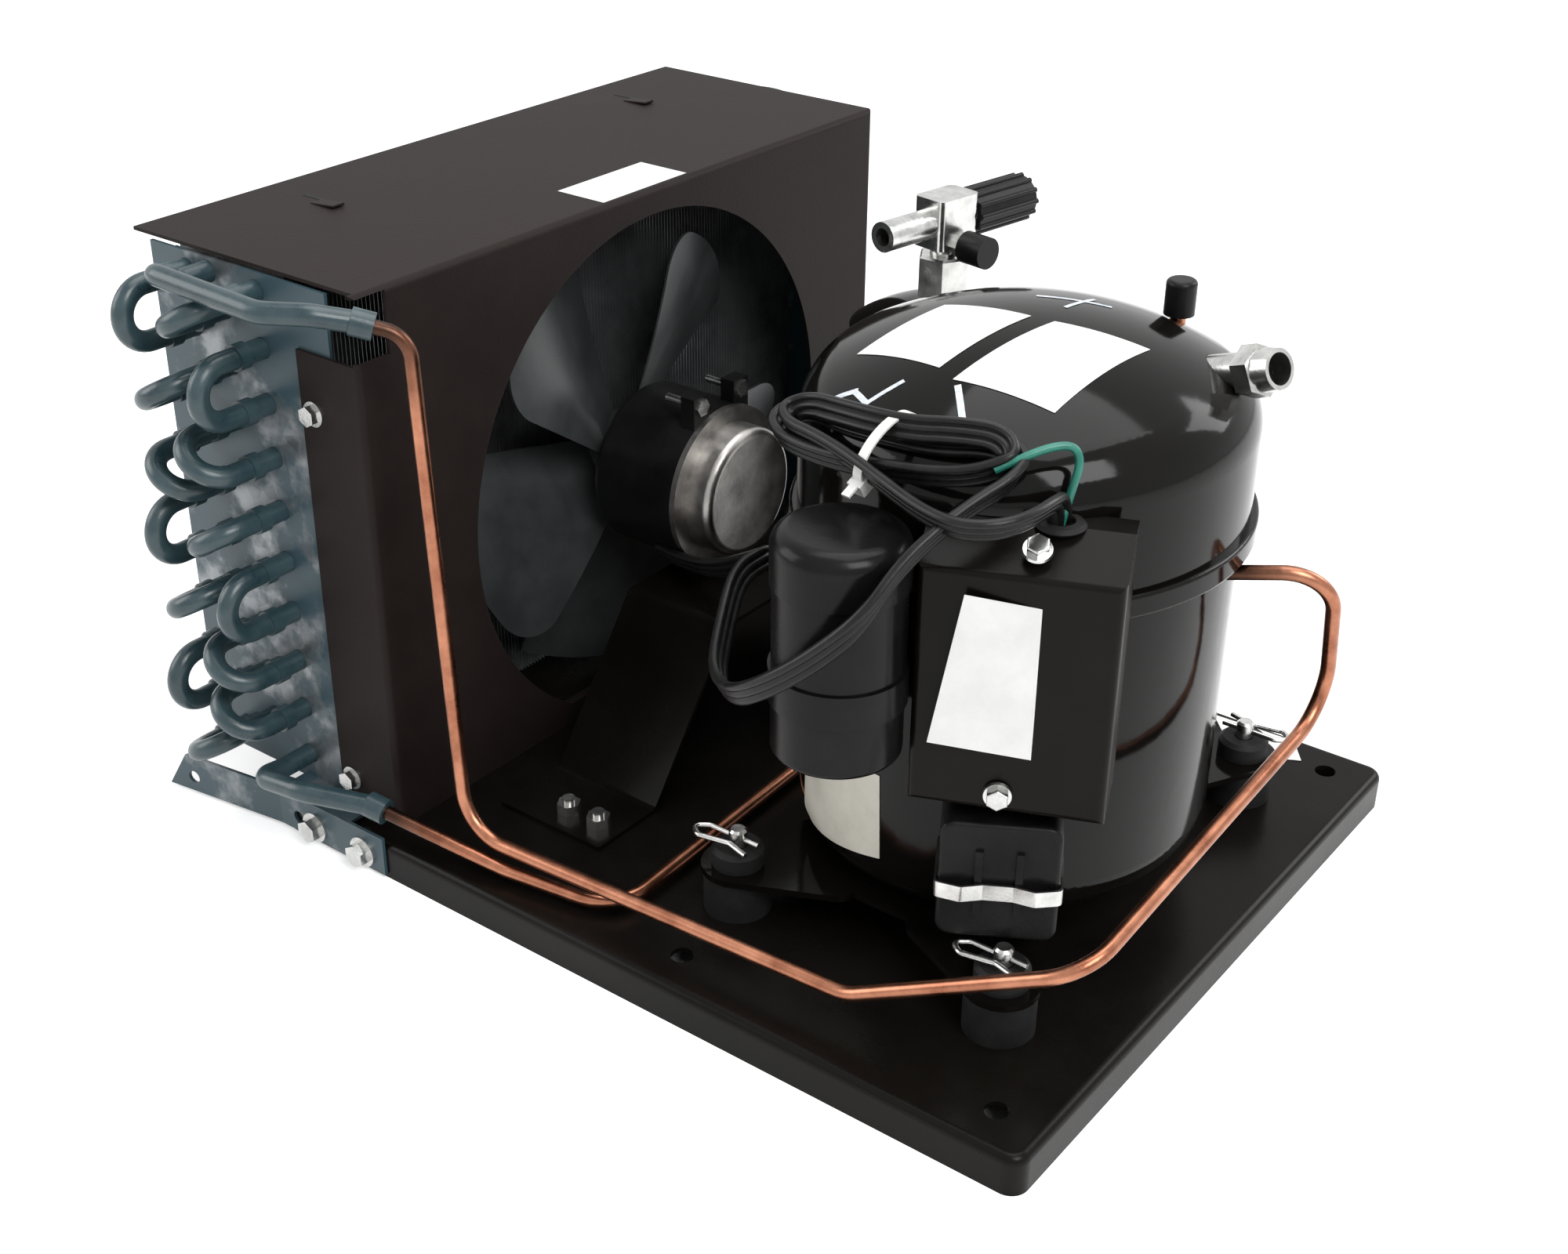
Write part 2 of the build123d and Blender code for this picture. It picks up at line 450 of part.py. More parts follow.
with BuildPart() as fan_shroud:
    add(shroud_form(0))
    add(shroud_form(SHROUD_SHEET), mode=Mode.SUBTRACT)
    # the side flanges are narrow and end short of the top and bottom
    with BuildSketch(facing_near(FLANGE_NEAR_Y)):
        with BuildLine():
            Polyline(
                (SHROUD_LEFT_X - SHROUD_LENGTH, SHROUD_LOW_Z),
                (SHROUD_FRONT_X - SHROUD_BEND_R, SHROUD_LOW_Z),
                (SHROUD_FRONT_X - SHROUD_BEND_R, FLANGE_LOW_Z),
                (SHROUD_FRONT_X - FLANGE_WIDTH, FLANGE_LOW_Z),
                (SHROUD_FRONT_X - FLANGE_WIDTH, FLANGE_TOP_Z),
                (SHROUD_FRONT_X - SHROUD_BEND_R, FLANGE_TOP_Z),
                (SHROUD_FRONT_X - SHROUD_BEND_R, SHROUD_TOP_Z - SHROUD_SHEET),
                (SHROUD_LEFT_X - SHROUD_LENGTH, SHROUD_TOP_Z - SHROUD_SHEET),
                close=True,
            )
        make_face()
    extrude(amount=-SHROUD_WIDTH, mode=Mode.SUBTRACT)
    # the top sheet stops short of the near flange's plane
    with BuildSketch(Plane.XY.offset(SHROUD_TOP_Z)):
        with Locations((SHROUD_LEFT_X, FLANGE_NEAR_Y)):
            Rectangle(
                2 * (SHROUD_LENGTH - SHROUD_BEND_R), 2 * FOLD_INSET
            )
    extrude(amount=-2 * SHROUD_SHEET, mode=Mode.SUBTRACT)
    # the near top corner is notched for the hot gas tube
    with BuildSketch(facing_right(SHROUD_FRONT_X)):
        with Locations((FLANGE_NEAR_Y, (FLANGE_TOP_Z + SHROUD_TOP_Z) / 2)):
            Rectangle(2 * NOTCH_WIDTH, SHROUD_TOP_Z - FLANGE_TOP_Z - 2 * SHROUD_SHEET)
    extrude(amount=-2 * SHROUD_BEND_R, mode=Mode.SUBTRACT)
    # the fan's opening is round but for a flat below
    with BuildSketch(facing_right(SHROUD_FRONT_X)) as fan_opening:
        with Locations((FAN_Y, FAN_Z)):
            Circle(FAN_HOLE_R)
        with Locations((FAN_Y, FAN_HOLE_FLAT_Z - FAN_HOLE_R)):
            Rectangle(2 * FAN_HOLE_R, 2 * FAN_HOLE_R, mode=Mode.SUBTRACT)
    extrude(amount=-SHROUD_SHEET * 2, mode=Mode.SUBTRACT)
    # a foot bent in under the coil, on the pan
    with BuildSketch(Plane.XY.offset(SHROUD_LOW_Z)):
        with Locations((SHROUD_FRONT_X - SHROUD_FOOT / 2, PAN_Y)):
            Rectangle(SHROUD_FOOT, PAN_WIDTH - 10 * PAN_CORNER_R)
        with Locations(*SHROUD_FOOT_BOLTS):
            Circle(SCREW_SHANK_R + BOLT_CLEARANCE, mode=Mode.SUBTRACT)
    extrude(amount=SHROUD_SHEET)
    # screw holes in both side flanges
    with BuildSketch(facing_near(FLANGE_NEAR_Y)):
        with Locations(*[(SCREW_X, screw_z) for screw_z in SHROUD_SCREW_Z]):
            Circle(SCREW_SHANK_R + BOLT_CLEARANCE)
    extrude(amount=-SHROUD_WIDTH, mode=Mode.SUBTRACT)
fan_shroud.part.label = "fan_shroud"
export_step(fan_shroud.part, "parts/fan_shroud.step")

with BuildPart() as shroud_screws:
    side_screw = hex_bolt(
        SCREW_SHANK_R, 3 * SHROUD_SHEET, SCREW_FLATS, SCREW_FLATS / 2, SCREW_HEAD_R, SCREW_HEAD_HEIGHT
    )
    for screw_z in SHROUD_SCREW_Z:
        for screw_y, facing in ((FLANGE_NEAR_Y, -1), (FLANGE_FAR_Y, 1)):
            with Locations(Plane(origin=(SCREW_X, screw_y, screw_z), z_dir=(0, facing, 0))):
                add(side_screw)
    for foot_x, foot_y in SHROUD_FOOT_BOLTS:
        with Locations((foot_x, foot_y, SHROUD_LOW_Z + SHROUD_SHEET)):
            add(side_screw)
shroud_screws.part.label = "shroud_screws"
export_step(shroud_screws.part, "parts/shroud_screws.step")

with BuildPart() as rim_bolts:
    rim_bolt = hex_bolt(
        STRIP_HOLE_R - BOLT_CLEARANCE,
        2 * PLATE_SHEET + PAN_SHEET,
        STAND_NUT_FLATS,
        STAND_NUT_HEIGHT,
        STAND_NUT_FLATS * 0.75,
        PLATE_SHEET,
    )
    for bolt_x in STRIP_BOLT_XS:
        for rim_y, facing in ((PAN_NEAR_Y, -1), (PAN_FAR_Y, 1)):
            head_y = rim_y + facing * PLATE_SHEET
            with Locations(Plane(origin=(bolt_x, head_y, STRIP_BOLT_Z), z_dir=(0, facing, 0))):
                add(rim_bolt)
rim_bolts.part.label = "rim_bolts"
export_step(rim_bolts.part, "parts/rim_bolts.step")

# ------------------------------------------------------------------ fan
BOSS_PLANE = facing_right(FAN_X - FAN_BOSS_LENGTH / 2)


def blade_section(distance, pitch):
    """The curved sheet's section at a distance from the shaft, drawn across the blade."""
    across = FAN_R * 0.6
    lift = across * tan(radians(pitch))
    with BuildSketch(Plane(origin=(0, distance, 0), x_dir=(0, 0, 1), z_dir=(0, 1, 0))) as section:
        with BuildLine():
            front = ThreePointArc((-across, -lift), (0, BLADE_CAMBER), (across, lift))
            back = ThreePointArc(
                (-across, BLADE_SHEET - lift),
                (0, BLADE_CAMBER + BLADE_SHEET),
                (across, BLADE_SHEET + lift),
            )
            Line(front @ 0, back @ 0)
            Line(front @ 1, back @ 1)
        make_face()
    return section.sketch


def blade_form():
    """One twisted, cambered sheet blade, standing out along +Y from the fan's centre."""
    with BuildPart() as blade:
        add(blade_section(0, BLADE_ROOT_PITCH))
        add(blade_section(FAN_R * 1.05, BLADE_TIP_PITCH))
        loft(ruled=True)
        # its outline seen along the shaft
        with BuildSketch(facing_right(0)) as outline:
            corner = Vector(FAN_R, 0).rotate(Axis.Z, BLADE_HALF_ANGLE)
            with BuildLine():
                ThreePointArc((corner.X, -corner.Y), (FAN_R, 0), (corner.X, corner.Y))
                Polyline(
                    (corner.X, corner.Y),
                    (HUB_R, BLADE_ROOT_HALF),
                    (HUB_R, -BLADE_ROOT_HALF),
                    (corner.X, -corner.Y),
                )
            make_face()
            fillet(outline.vertices().sort_by(Axis.Y)[-2:], BLADE_TIP_ROUND)
        extrude(amount=FAN_R, both=True, mode=Mode.INTERSECT)
    return blade.part


with BuildPart() as fan_blades:
    for turn in range(FAN_BLADES):
        angle = FAN_FIRST_ANGLE + 360 / FAN_BLADES * turn
        with Locations(Location((FAN_X - BLADE_CAMBER, FAN_Y, FAN_Z), (angle, 0, 0))):
            add(blade_form())
    with BuildSketch(BOSS_PLANE):
        with Locations((FAN_Y, FAN_Z)):
            Circle(FAN_BOSS_R)
    extrude(amount=FAN_BOSS_LENGTH)
    with BuildSketch(BOSS_PLANE):
        with Locations((FAN_Y, FAN_Z)):
            Circle(HUB_R)
    extrude(amount=FAN_BOSS_LENGTH, mode=Mode.SUBTRACT)
fan_blades.part.label = "fan_blades"
export_step(fan_blades.part, "parts/fan_blades.step")

# The hub is a steel sleeve through the blades' boss, the shaft runs back into the motor.
with BuildPart() as fan_hub:
    with BuildSketch(facing_right(FAN_X - HUB_LENGTH / 2)):
        with Locations((FAN_Y, FAN_Z)):
            Circle(HUB_R)
            Circle(SHAFT_R, mode=Mode.SUBTRACT)
    extrude(amount=HUB_LENGTH)
fan_hub.part.label = "fan_hub"
export_step(fan_hub.part, "parts/fan_hub.step")

MOTOR_INSIDE_FRONT_X = MOTOR_FRONT_X + MOTOR_WALL
MOTOR_END_X = MOTOR_BACK_X + MOTOR_CAP_LENGTH
ROTOR_MID_X = (MOTOR_INSIDE_FRONT_X + MOTOR_BACK_X) / 2
with BuildPart() as fan_shaft:
    shaft_start = FAN_X - HUB_LENGTH / 2 - 2
    with BuildSketch(facing_right(shaft_start)):
        with Locations((FAN_Y, FAN_Z)):
            Circle(SHAFT_R)
    extrude(amount=MOTOR_END_X - MOTOR_WALL - SEAT_GAP - shaft_start)
    chamfer(fan_shaft.faces().sort_by(Axis.X)[0].edges(), SHAFT_R / 5)
fan_shaft.part.label = "fan_shaft"
export_step(fan_shaft.part, "parts/fan_shaft.step")

with BuildPart() as motor_rotor:
    with BuildSketch(facing_right(ROTOR_MID_X - STATOR_LENGTH / 2)):
        with Locations((FAN_Y, FAN_Z)):
            Circle(ROTOR_R)
            Circle(SHAFT_R, mode=Mode.SUBTRACT)
    extrude(amount=STATOR_LENGTH)
motor_rotor.part.label = "motor_rotor"
export_step(motor_rotor.part, "parts/motor_rotor.step")

with BuildPart() as motor_stator:
    with BuildSketch(facing_right(ROTOR_MID_X - STATOR_LENGTH / 2)):
        with Locations((FAN_Y, FAN_Z)):
            Circle(MOTOR_R - MOTOR_WALL)
            Circle(ROTOR_R + ROTOR_GAP, mode=Mode.SUBTRACT)
    extrude(amount=STATOR_LENGTH)
motor_stator.part.label = "motor_stator"
export_step(motor_stator.part, "parts/motor_stator.step")

# A drawn steel cup with a bearing nose, open to the rear cap, and two lugs on its back rim.
LUG_YS = (FAN_Y - MOTOR_LUG_SPAN / 2, FAN_Y + MOTOR_LUG_SPAN / 2)
LUG_TOP_Z = FAN_Z + MOTOR_R + MOTOR_LUG_HEIGHT
with BuildPart() as motor_housing:
    with BuildSketch(facing_right(MOTOR_FRONT_X)):
        with Locations((FAN_Y, FAN_Z)):
            Circle(MOTOR_R)
    extrude(amount=MOTOR_BACK_X - MOTOR_FRONT_X)
    fillet(motor_housing.faces().sort_by(Axis.X)[0].edges(), MOTOR_R / 8)
    with BuildSketch(facing_right(MOTOR_FRONT_X - MOTOR_NOSE_LENGTH)):
        with Locations((FAN_Y, FAN_Z)):
            Circle(MOTOR_NOSE_R)
    extrude(amount=MOTOR_NOSE_LENGTH + MOTOR_WALL)
    with BuildSketch(facing_right(MOTOR_BACK_X - MOTOR_LUG_LENGTH)):
        with Locations(*[(lug_y, (FAN_Z + LUG_TOP_Z) / 2) for lug_y in LUG_YS]):
            Rectangle(MOTOR_LUG_WIDTH, LUG_TOP_Z - FAN_Z)
    extrude(amount=MOTOR_LUG_LENGTH)
    with BuildSketch(facing_right(MOTOR_INSIDE_FRONT_X)):
        with Locations((FAN_Y, FAN_Z)):
            Circle(MOTOR_R - MOTOR_WALL)
    extrude(amount=MOTOR_BACK_X - MOTOR_INSIDE_FRONT_X, mode=Mode.SUBTRACT)
    with BuildSketch(facing_right(MOTOR_FRONT_X - MOTOR_NOSE_LENGTH)):
        with Locations((FAN_Y, FAN_Z)):
            Circle(SHAFT_R + SHAFT_CLEARANCE)
    extrude(amount=MOTOR_NOSE_LENGTH + 2 * MOTOR_WALL, mode=Mode.SUBTRACT)
    with BuildSketch(facing_right(MOTOR_BACK_X - MOTOR_LUG_LENGTH)):
        with Locations(*[(lug_y, LUG_TOP_Z - MOTOR_LUG_HEIGHT / 2) for lug_y in LUG_YS]):
            Circle(MOTOR_STUD_R + BOLT_CLEARANCE)
    extrude(amount=MOTOR_LUG_LENGTH, mode=Mode.SUBTRACT)
motor_housing.part.label = "motor_housing"
export_step(motor_housing.part, "parts/motor_housing.step")

# The rear end bell, with the back bearing.
with BuildPart() as motor_cap:
    with BuildSketch(facing_right(MOTOR_BACK_X)):
        with Locations((FAN_Y, FAN_Z)):
            Circle(MOTOR_R)
    extrude(amount=MOTOR_CAP_LIP)
    with BuildSketch(facing_right(MOTOR_BACK_X)):
        with Locations((FAN_Y, FAN_Z)):
            Circle(MOTOR_CAP_R)
    extrude(amount=MOTOR_CAP_LENGTH)
    fillet(motor_cap.faces().sort_by(Axis.X)[-1].edges(), MOTOR_CAP_R / 8)
    with BuildSketch(facing_right(MOTOR_BACK_X)):
        with Locations((FAN_Y, FAN_Z)):
            Circle(MOTOR_CAP_R - MOTOR_WALL)
            Circle(MOTOR_NOSE_R, mode=Mode.SUBTRACT)
    extrude(amount=MOTOR_CAP_LENGTH - MOTOR_WALL, mode=Mode.SUBTRACT)
    with BuildSketch(facing_right(MOTOR_BACK_X)):
        with Locations((FAN_Y, FAN_Z)):
            Circle(SHAFT_R + SHAFT_CLEARANCE)
    extrude(amount=MOTOR_CAP_LENGTH - MOTOR_WALL, mode=Mode.SUBTRACT)
motor_cap.part.label = "motor_cap"
export_step(motor_cap.part, "parts/motor_cap.step")

with BuildPart() as motor_studs:
    stud_z = LUG_TOP_Z - MOTOR_LUG_HEIGHT / 2
    for lug_y in LUG_YS:
        with BuildSketch(facing_right(MOTOR_BACK_X + MOTOR_CAP_LIP / 2)):
            with Locations((lug_y, stud_z)):
                RegularPolygon(MOTOR_STUD_R * 1.9, 6, major_radius=False)
        extrude(amount=-MOTOR_CAP_LIP / 2)
        with BuildSketch(facing_right(MOTOR_BACK_X + MOTOR_CAP_LIP / 2)):
            with Locations((lug_y, stud_z)):
                Circle(MOTOR_STUD_R)
        extrude(amount=-MOTOR_STUD_LENGTH)
motor_studs.part.label = "motor_studs"
export_step(motor_studs.part, "parts/motor_studs.step")

# ------------------------------------------------------------------ motor stand
STAND_TOP_Z = FAN_Z - MOTOR_R - SEAT_GAP
STAND_BOTTOM_Z = PAN_HEIGHT
STAND_LINE_Z = STAND_TOP_Z - STAND_SHEET
with BuildPart() as motor_stand:
    with BuildSketch(facing_right(STAND_X)):
        with BuildLine() as stand_profile:
            FilletPolyline(
                (STAND_NEAR_FOOT_Y, STAND_BOTTOM_Z),
                (STAND_NEAR_KNEE_Y, STAND_BOTTOM_Z),
                (STAND_NEAR_TOP_Y, STAND_LINE_Z),
                (STAND_FAR_TOP_Y, STAND_LINE_Z),
                (STAND_FAR_KNEE_Y, STAND_BOTTOM_Z),
                (STAND_FAR_FOOT_Y, STAND_BOTTOM_Z),
                radius=STAND_BEND_R,
            )
            offset(amount=STAND_SHEET, side=Side.LEFT)
        make_face()
    extrude(amount=STAND_WIDTH)
    # the far leg is narrow, clear of the receiver
    with BuildSketch(Plane.XY.offset(STAND_BOTTOM_Z)):
        with Locations((STAND_X + STAND_FAR_WIDTH, STAND_FAR_TOP_Y - STAND_BEND_R)):
            Rectangle(STAND_WIDTH, PAN_WIDTH, align=(Align.MIN, Align.MIN))
    extrude(amount=STAND_TOP_Z, mode=Mode.SUBTRACT)
    with BuildSketch(Plane.XY.offset(STAND_BOTTOM_Z)):
        with Locations(*STAND_BOLTS):
            Circle(STAND_STUD_R + BOLT_CLEARANCE)
    extrude(amount=STAND_SHEET, mode=Mode.SUBTRACT)
motor_stand.part.label = "motor_stand"
export_step(motor_stand.part, "parts/motor_stand.step")

# Weld studs of the pan with their hex nuts.
with BuildPart() as stand_nuts:
    with BuildSketch(Plane.XY.offset(STAND_BOTTOM_Z + STAND_SHEET)):
        with Locations(*STAND_BOLTS):
            RegularPolygon(STAND_NUT_FLATS / 2, 6, major_radius=False)
    extrude(amount=STAND_NUT_HEIGHT)
    with BuildSketch(Plane.XY.offset(PAN_HEIGHT - PAN_SHEET)):
        with Locations(*STAND_BOLTS):
            Circle(STAND_STUD_R)
    extrude(amount=PAN_SHEET + STAND_SHEET + STAND_NUT_HEIGHT * 1.5)
stand_nuts.part.label = "stand_nuts"
export_step(stand_nuts.part, "parts/stand_nuts.step")

# ------------------------------------------------------------------ compressor
LOWER_RX = SHELL_RX - SHELL_WALL - LAP_CLEARANCE
LOWER_RY = SHELL_RY - SHELL_WALL - LAP_CLEARANCE
BOX_DIRECTION = Vector(cos(radians(BOX_BEARING)), sin(radians(BOX_BEARING)), 0)


def outward_plane(reach, height, roll=0.0):
    """An upright plane off the compressor's axis, facing the wiring side."""
    origin = Vector(COMP_X, COMP_Y, height) + BOX_DIRECTION * reach
    plane = Plane(origin=origin, x_dir=BOX_DIRECTION.rotate(Axis.Z, 90), z_dir=BOX_DIRECTION)
    return plane.rotated((0, 0, roll))


def crown_form(inset):
    """The upper shell's outer form, drawn in by a wall: an oval drum with a crowned top."""
    crown = SHELL_CROWN_R - inset
    with BuildPart() as form:
        with BuildSketch(upright(COMP_X, COMP_Y, SEAM_Z)):
            Ellipse(SHELL_RX - inset, SHELL_RY - inset)
        extrude(amount=SHELL_TOP_Z + SHELL_WALL - SEAM_Z)
        with Locations((COMP_X, COMP_Y, SHELL_TOP_Z - SHELL_CROWN_R)):
            Sphere(crown, mode=Mode.INTERSECT)
        fillet(form.edges().filter_by(GeomType.BSPLINE), SHELL_KNUCKLE_R - inset)
    return form.part


def sump_form(inset):
    """The lower shell's outer form, drawn in by a wall: an oval drum with a rounded foot."""
    with BuildPart() as form:
        with BuildSketch(upright(COMP_X, COMP_Y, SHELL_BOTTOM_Z + inset)):
            Ellipse(LOWER_RX - inset, LOWER_RY - inset)
        extrude(amount=SEAM_Z + SEAM_HEIGHT - SHELL_BOTTOM_Z - inset)
        fillet(form.edges().sort_by(Axis.Z)[0], SHELL_BOTTOM_R - inset)
    return form.part


def crown_z(x, y):
    """Height of the crowned top over a point."""
    run = (x - COMP_X) ** 2 + (y - COMP_Y) ** 2
    return SHELL_TOP_Z - SHELL_CROWN_R + sqrt(SHELL_CROWN_R**2 - run)


def seam_ring(grow):
    """The oval band that the upper shell's rolled rim fills."""
    with BuildPart() as ring:
        with BuildSketch(upright(COMP_X, COMP_Y, SEAM_Z - grow)):
            Ellipse(SHELL_RX + SEAM_LIP + grow, SHELL_RY + SEAM_LIP + grow)
        extrude(amount=SEAM_HEIGHT + 2 * grow)
        fillet(ring.edges().filter_by(GeomType.ELLIPSE), SEAM_LIP / 2)
    return ring.part


SUCTION_PLANE = Plane(origin=SUCTION_ROOT, z_dir=SUCTION_LEAN)
PROCESS_Z = crown_z(PROCESS_X, PROCESS_Y)

# The hot gas tube's route, from inside the lower shell to the coil's inlet joint.
DISCHARGE_ROUTE = (
    (COMP_X + 81.5, COMP_Y + 16.4, 178.1),
    (COMP_X + 125.0, COMP_Y + 33.0, 185.0),
    (COMP_X + 120.0, COMP_Y + 58.0, 110.0),
    (COMP_X + 115.0, COMP_Y - 132.0, 83.0),
    (COMP_X + 18.2, COMP_Y - 145.5, 34.6),
    (PAN_X - 93.6, PAN_Y - 155.6, 34.6),
    (PAN_X - 111.5, PAN_Y - 150.0, 262.0),
    (PAN_X - 127.0, PAN_Y - 163.0, 268.0),
)
DISCHARGE_START = Plane(
    origin=DISCHARGE_ROUTE[0], z_dir=Vector(*DISCHARGE_ROUTE[1]) - Vector(*DISCHARGE_ROUTE[0])
)

with BuildPart() as compressor_upper_shell:
    add(crown_form(0))
    add(seam_ring(0))
    add(crown_form(SHELL_WALL), mode=Mode.SUBTRACT)
    with BuildSketch(SUCTION_PLANE.offset(-SUCTION_LENGTH / 2)):
        Circle(SUCTION_TUBE_R + TUBE_CLEARANCE)
    extrude(amount=SUCTION_LENGTH, mode=Mode.SUBTRACT)
    with BuildSketch(upright(PROCESS_X, PROCESS_Y, PROCESS_Z)):
        Circle(PROCESS_TUBE_R + TUBE_CLEARANCE)
    extrude(amount=SHELL_KNUCKLE_R, both=True, mode=Mode.SUBTRACT)
compressor_upper_shell.part.label = "compressor_upper_shell"
export_step(compressor_upper_shell.part, "parts/compressor_upper_shell.step")

with BuildPart() as compressor_lower_shell:
    add(sump_form(0))
    add(sump_form(SHELL_WALL), mode=Mode.SUBTRACT)
    with BuildSketch(DISCHARGE_START.offset(-4 * TUBE_R)):
        Circle(COPPER_R + TUBE_CLEARANCE)
    extrude(amount=6 * TUBE_R, mode=Mode.SUBTRACT)
compressor_lower_shell.part.label = "compressor_lower_shell"
export_step(compressor_lower_shell.part, "parts/compressor_lower_shell.step")

# Two pressed feet welded under the shell, each ending in two eyes.
with BuildPart() as compressor_feet:
    for side in (-1, 1):
        for end in (-1, 1):
            with BuildSketch(Plane.XY.offset(FOOT_Z := SHELL_BOTTOM_Z - FOOT_SHEET)) as arm:
                with Locations((COMP_X + end * FOOT_SPAN_X / 2, COMP_Y + side * FOOT_SPAN_Y / 2)):
                    Circle(FOOT_EYE_R)
                with Locations((COMP_X + end * LOWER_RX / 4, COMP_Y + side * LOWER_RY)):
                    Circle(FOOT_EYE_R / 2)
                with Locations((COMP_X + end * LOWER_RX / 2, COMP_Y + side * LOWER_RY / 2)):
                    Circle(FOOT_EYE_R / 2)
                make_hull()
            extrude(amount=FOOT_SHEET)
        with BuildSketch(Plane.XY.offset(FOOT_Z)):
            with Locations((COMP_X, COMP_Y + side * LOWER_RY * 0.75)):
                Rectangle(LOWER_RX, LOWER_RY / 2)
        extrude(amount=FOOT_SHEET)
    with BuildSketch(Plane.XY.offset(FOOT_Z)):
        with Locations(*FEET):
            Circle(RUBBER_NECK_R + SEAT_GAP)
    extrude(amount=FOOT_SHEET, mode=Mode.SUBTRACT)
compressor_feet.part.label = "compressor_feet"
export_step(compressor_feet.part, "parts/compressor_feet.step")

with BuildPart() as rubber_mounts:
    with BuildSketch(Plane.XY.offset(PAN_HEIGHT)):
        with Locations(*FEET):
            Circle(RUBBER_R)
    extrude(amount=FOOT_Z - PAN_HEIGHT)
    with BuildSketch(Plane.XY.offset(FOOT_Z)):
        with Locations(*FEET):
            Circle(RUBBER_NECK_R)
    extrude(amount=FOOT_SHEET)
    with BuildSketch(Plane.XY.offset(FOOT_Z + FOOT_SHEET)):
        with Locations(*FEET):
            Circle(RUBBER_TOP_R)
    extrude(amount=RUBBER_TOP_Z - FOOT_Z - FOOT_SHEET)
    chamfer(rubber_mounts.edges().group_by(Axis.Z)[-1], RUBBER_TOP_R / 6)
    with BuildSketch(Plane.XY.offset(PAN_HEIGHT)):
        with Locations(*FEET):
            Circle(STUD_R + SEAT_GAP)
    extrude(amount=RUBBER_TOP_Z, mode=Mode.SUBTRACT)
rubber_mounts.part.label = "rubber_mounts"
export_step(rubber_mounts.part, "parts/rubber_mounts.step")

CLIP_HOLE_R = CLIP_WIRE_R + BOLT_CLEARANCE
with BuildPart() as mount_studs:
    with BuildSketch(Plane.XY.offset(PAN_HEIGHT - PAN_SHEET)):
        with Locations(*FEET):
            Circle(STUD_R)
    extrude(amount=STUD_TOP_Z - PAN_HEIGHT + PAN_SHEET)
    chamfer(mount_studs.edges().group_by(Axis.Z)[-1], STUD_R / 4)
    with BuildSketch(Plane.XY.offset(PAN_HEIGHT - PAN_SHEET)):
        with Locations(*FEET):
            Circle(STUD_HEAD_R)
    extrude(amount=-STUD_HEAD_HEIGHT)
    for foot_x, foot_y in FEET:
        with BuildSketch(facing_right(foot_x)):
            with Locations((foot_y, CLIP_Z)):
                Circle(CLIP_HOLE_R)
        extrude(amount=2 * STUD_R, both=True, mode=Mode.SUBTRACT)
mount_studs.part.label = "mount_studs"
export_step(mount_studs.part, "parts/mount_studs.step")

# Hairpin clips: one leg through the stud, the other sprung round it.
CLIP_ROUTE = ((-11.0, 0.0), (15.0, 0.0), (21.0, 4.5), (15.0, 9.0), (0.0, 6.0), (-11.0, 9.0))
with BuildPart() as mount_clips:
    for foot_x, foot_y in FEET:
        outward = 1 if foot_y > COMP_Y else -1
        route_points = [(foot_x + outward * x, foot_y + outward * y, CLIP_Z) for x, y in CLIP_ROUTE]
        with BuildLine() as clip_route:
            FilletPolyline(*route_points, radius=bend_radii(route_points, 3 * CLIP_WIRE_R))
        with BuildSketch(Plane(origin=route_points[0], z_dir=clip_route.line % 0)):
            Circle(CLIP_WIRE_R)
        sweep(path=clip_route.line)
mount_clips.part.label = "mount_clips"
export_step(mount_clips.part, "parts/mount_clips.step")

# Inside the sealed shell: the motor's stator and pump block hang on four springs.
with BuildPart() as pump_body:
    with BuildSketch(upright(COMP_X, COMP_Y, PUMP_LOW_Z)):
        Circle(PUMP_R)
        Circle(PUMP_ROTOR_R + ROTOR_GAP, mode=Mode.SUBTRACT)
    extrude(amount=PUMP_HEIGHT)
    with BuildSketch(upright(COMP_X, COMP_Y, PUMP_LOW_Z + PUMP_HEIGHT)):
        Circle(PUMP_BLOCK_R)
        Circle(PUMP_SHAFT_R + SHAFT_CLEARANCE, mode=Mode.SUBTRACT)
    extrude(amount=PUMP_BLOCK_HEIGHT)
    with BuildSketch(facing_right(COMP_X)):
        with Locations((COMP_Y, PUMP_LOW_Z + PUMP_HEIGHT + PUMP_BLOCK_HEIGHT / 2)):
            Rectangle(PUMP_BLOCK_HEIGHT * 1.5, PUMP_BLOCK_HEIGHT)
    extrude(amount=-PUMP_R * 1.15)
    with BuildSketch(upright(COMP_X, COMP_Y, PUMP_LOW_Z)):
        Circle(PUMP_SHAFT_R + SHAFT_CLEARANCE)
    extrude(amount=PUMP_HEIGHT + PUMP_BLOCK_HEIGHT, mode=Mode.SUBTRACT)
pump_body.part.label = "pump_body"
export_step(pump_body.part, "parts/pump_body.step")

with BuildPart() as pump_rotor:
    with BuildSketch(upright(COMP_X, COMP_Y, PUMP_LOW_Z)):
        Circle(PUMP_ROTOR_R)
    extrude(amount=PUMP_HEIGHT - SEAT_GAP)
    with BuildSketch(upright(COMP_X, COMP_Y, PUMP_LOW_Z - PUMP_SHAFT_R)):
        Circle(PUMP_SHAFT_R)
    extrude(amount=PUMP_HEIGHT + PUMP_BLOCK_HEIGHT + 2 * PUMP_SHAFT_R)
pump_rotor.part.label = "pump_rotor"
export_step(pump_rotor.part, "parts/pump_rotor.step")

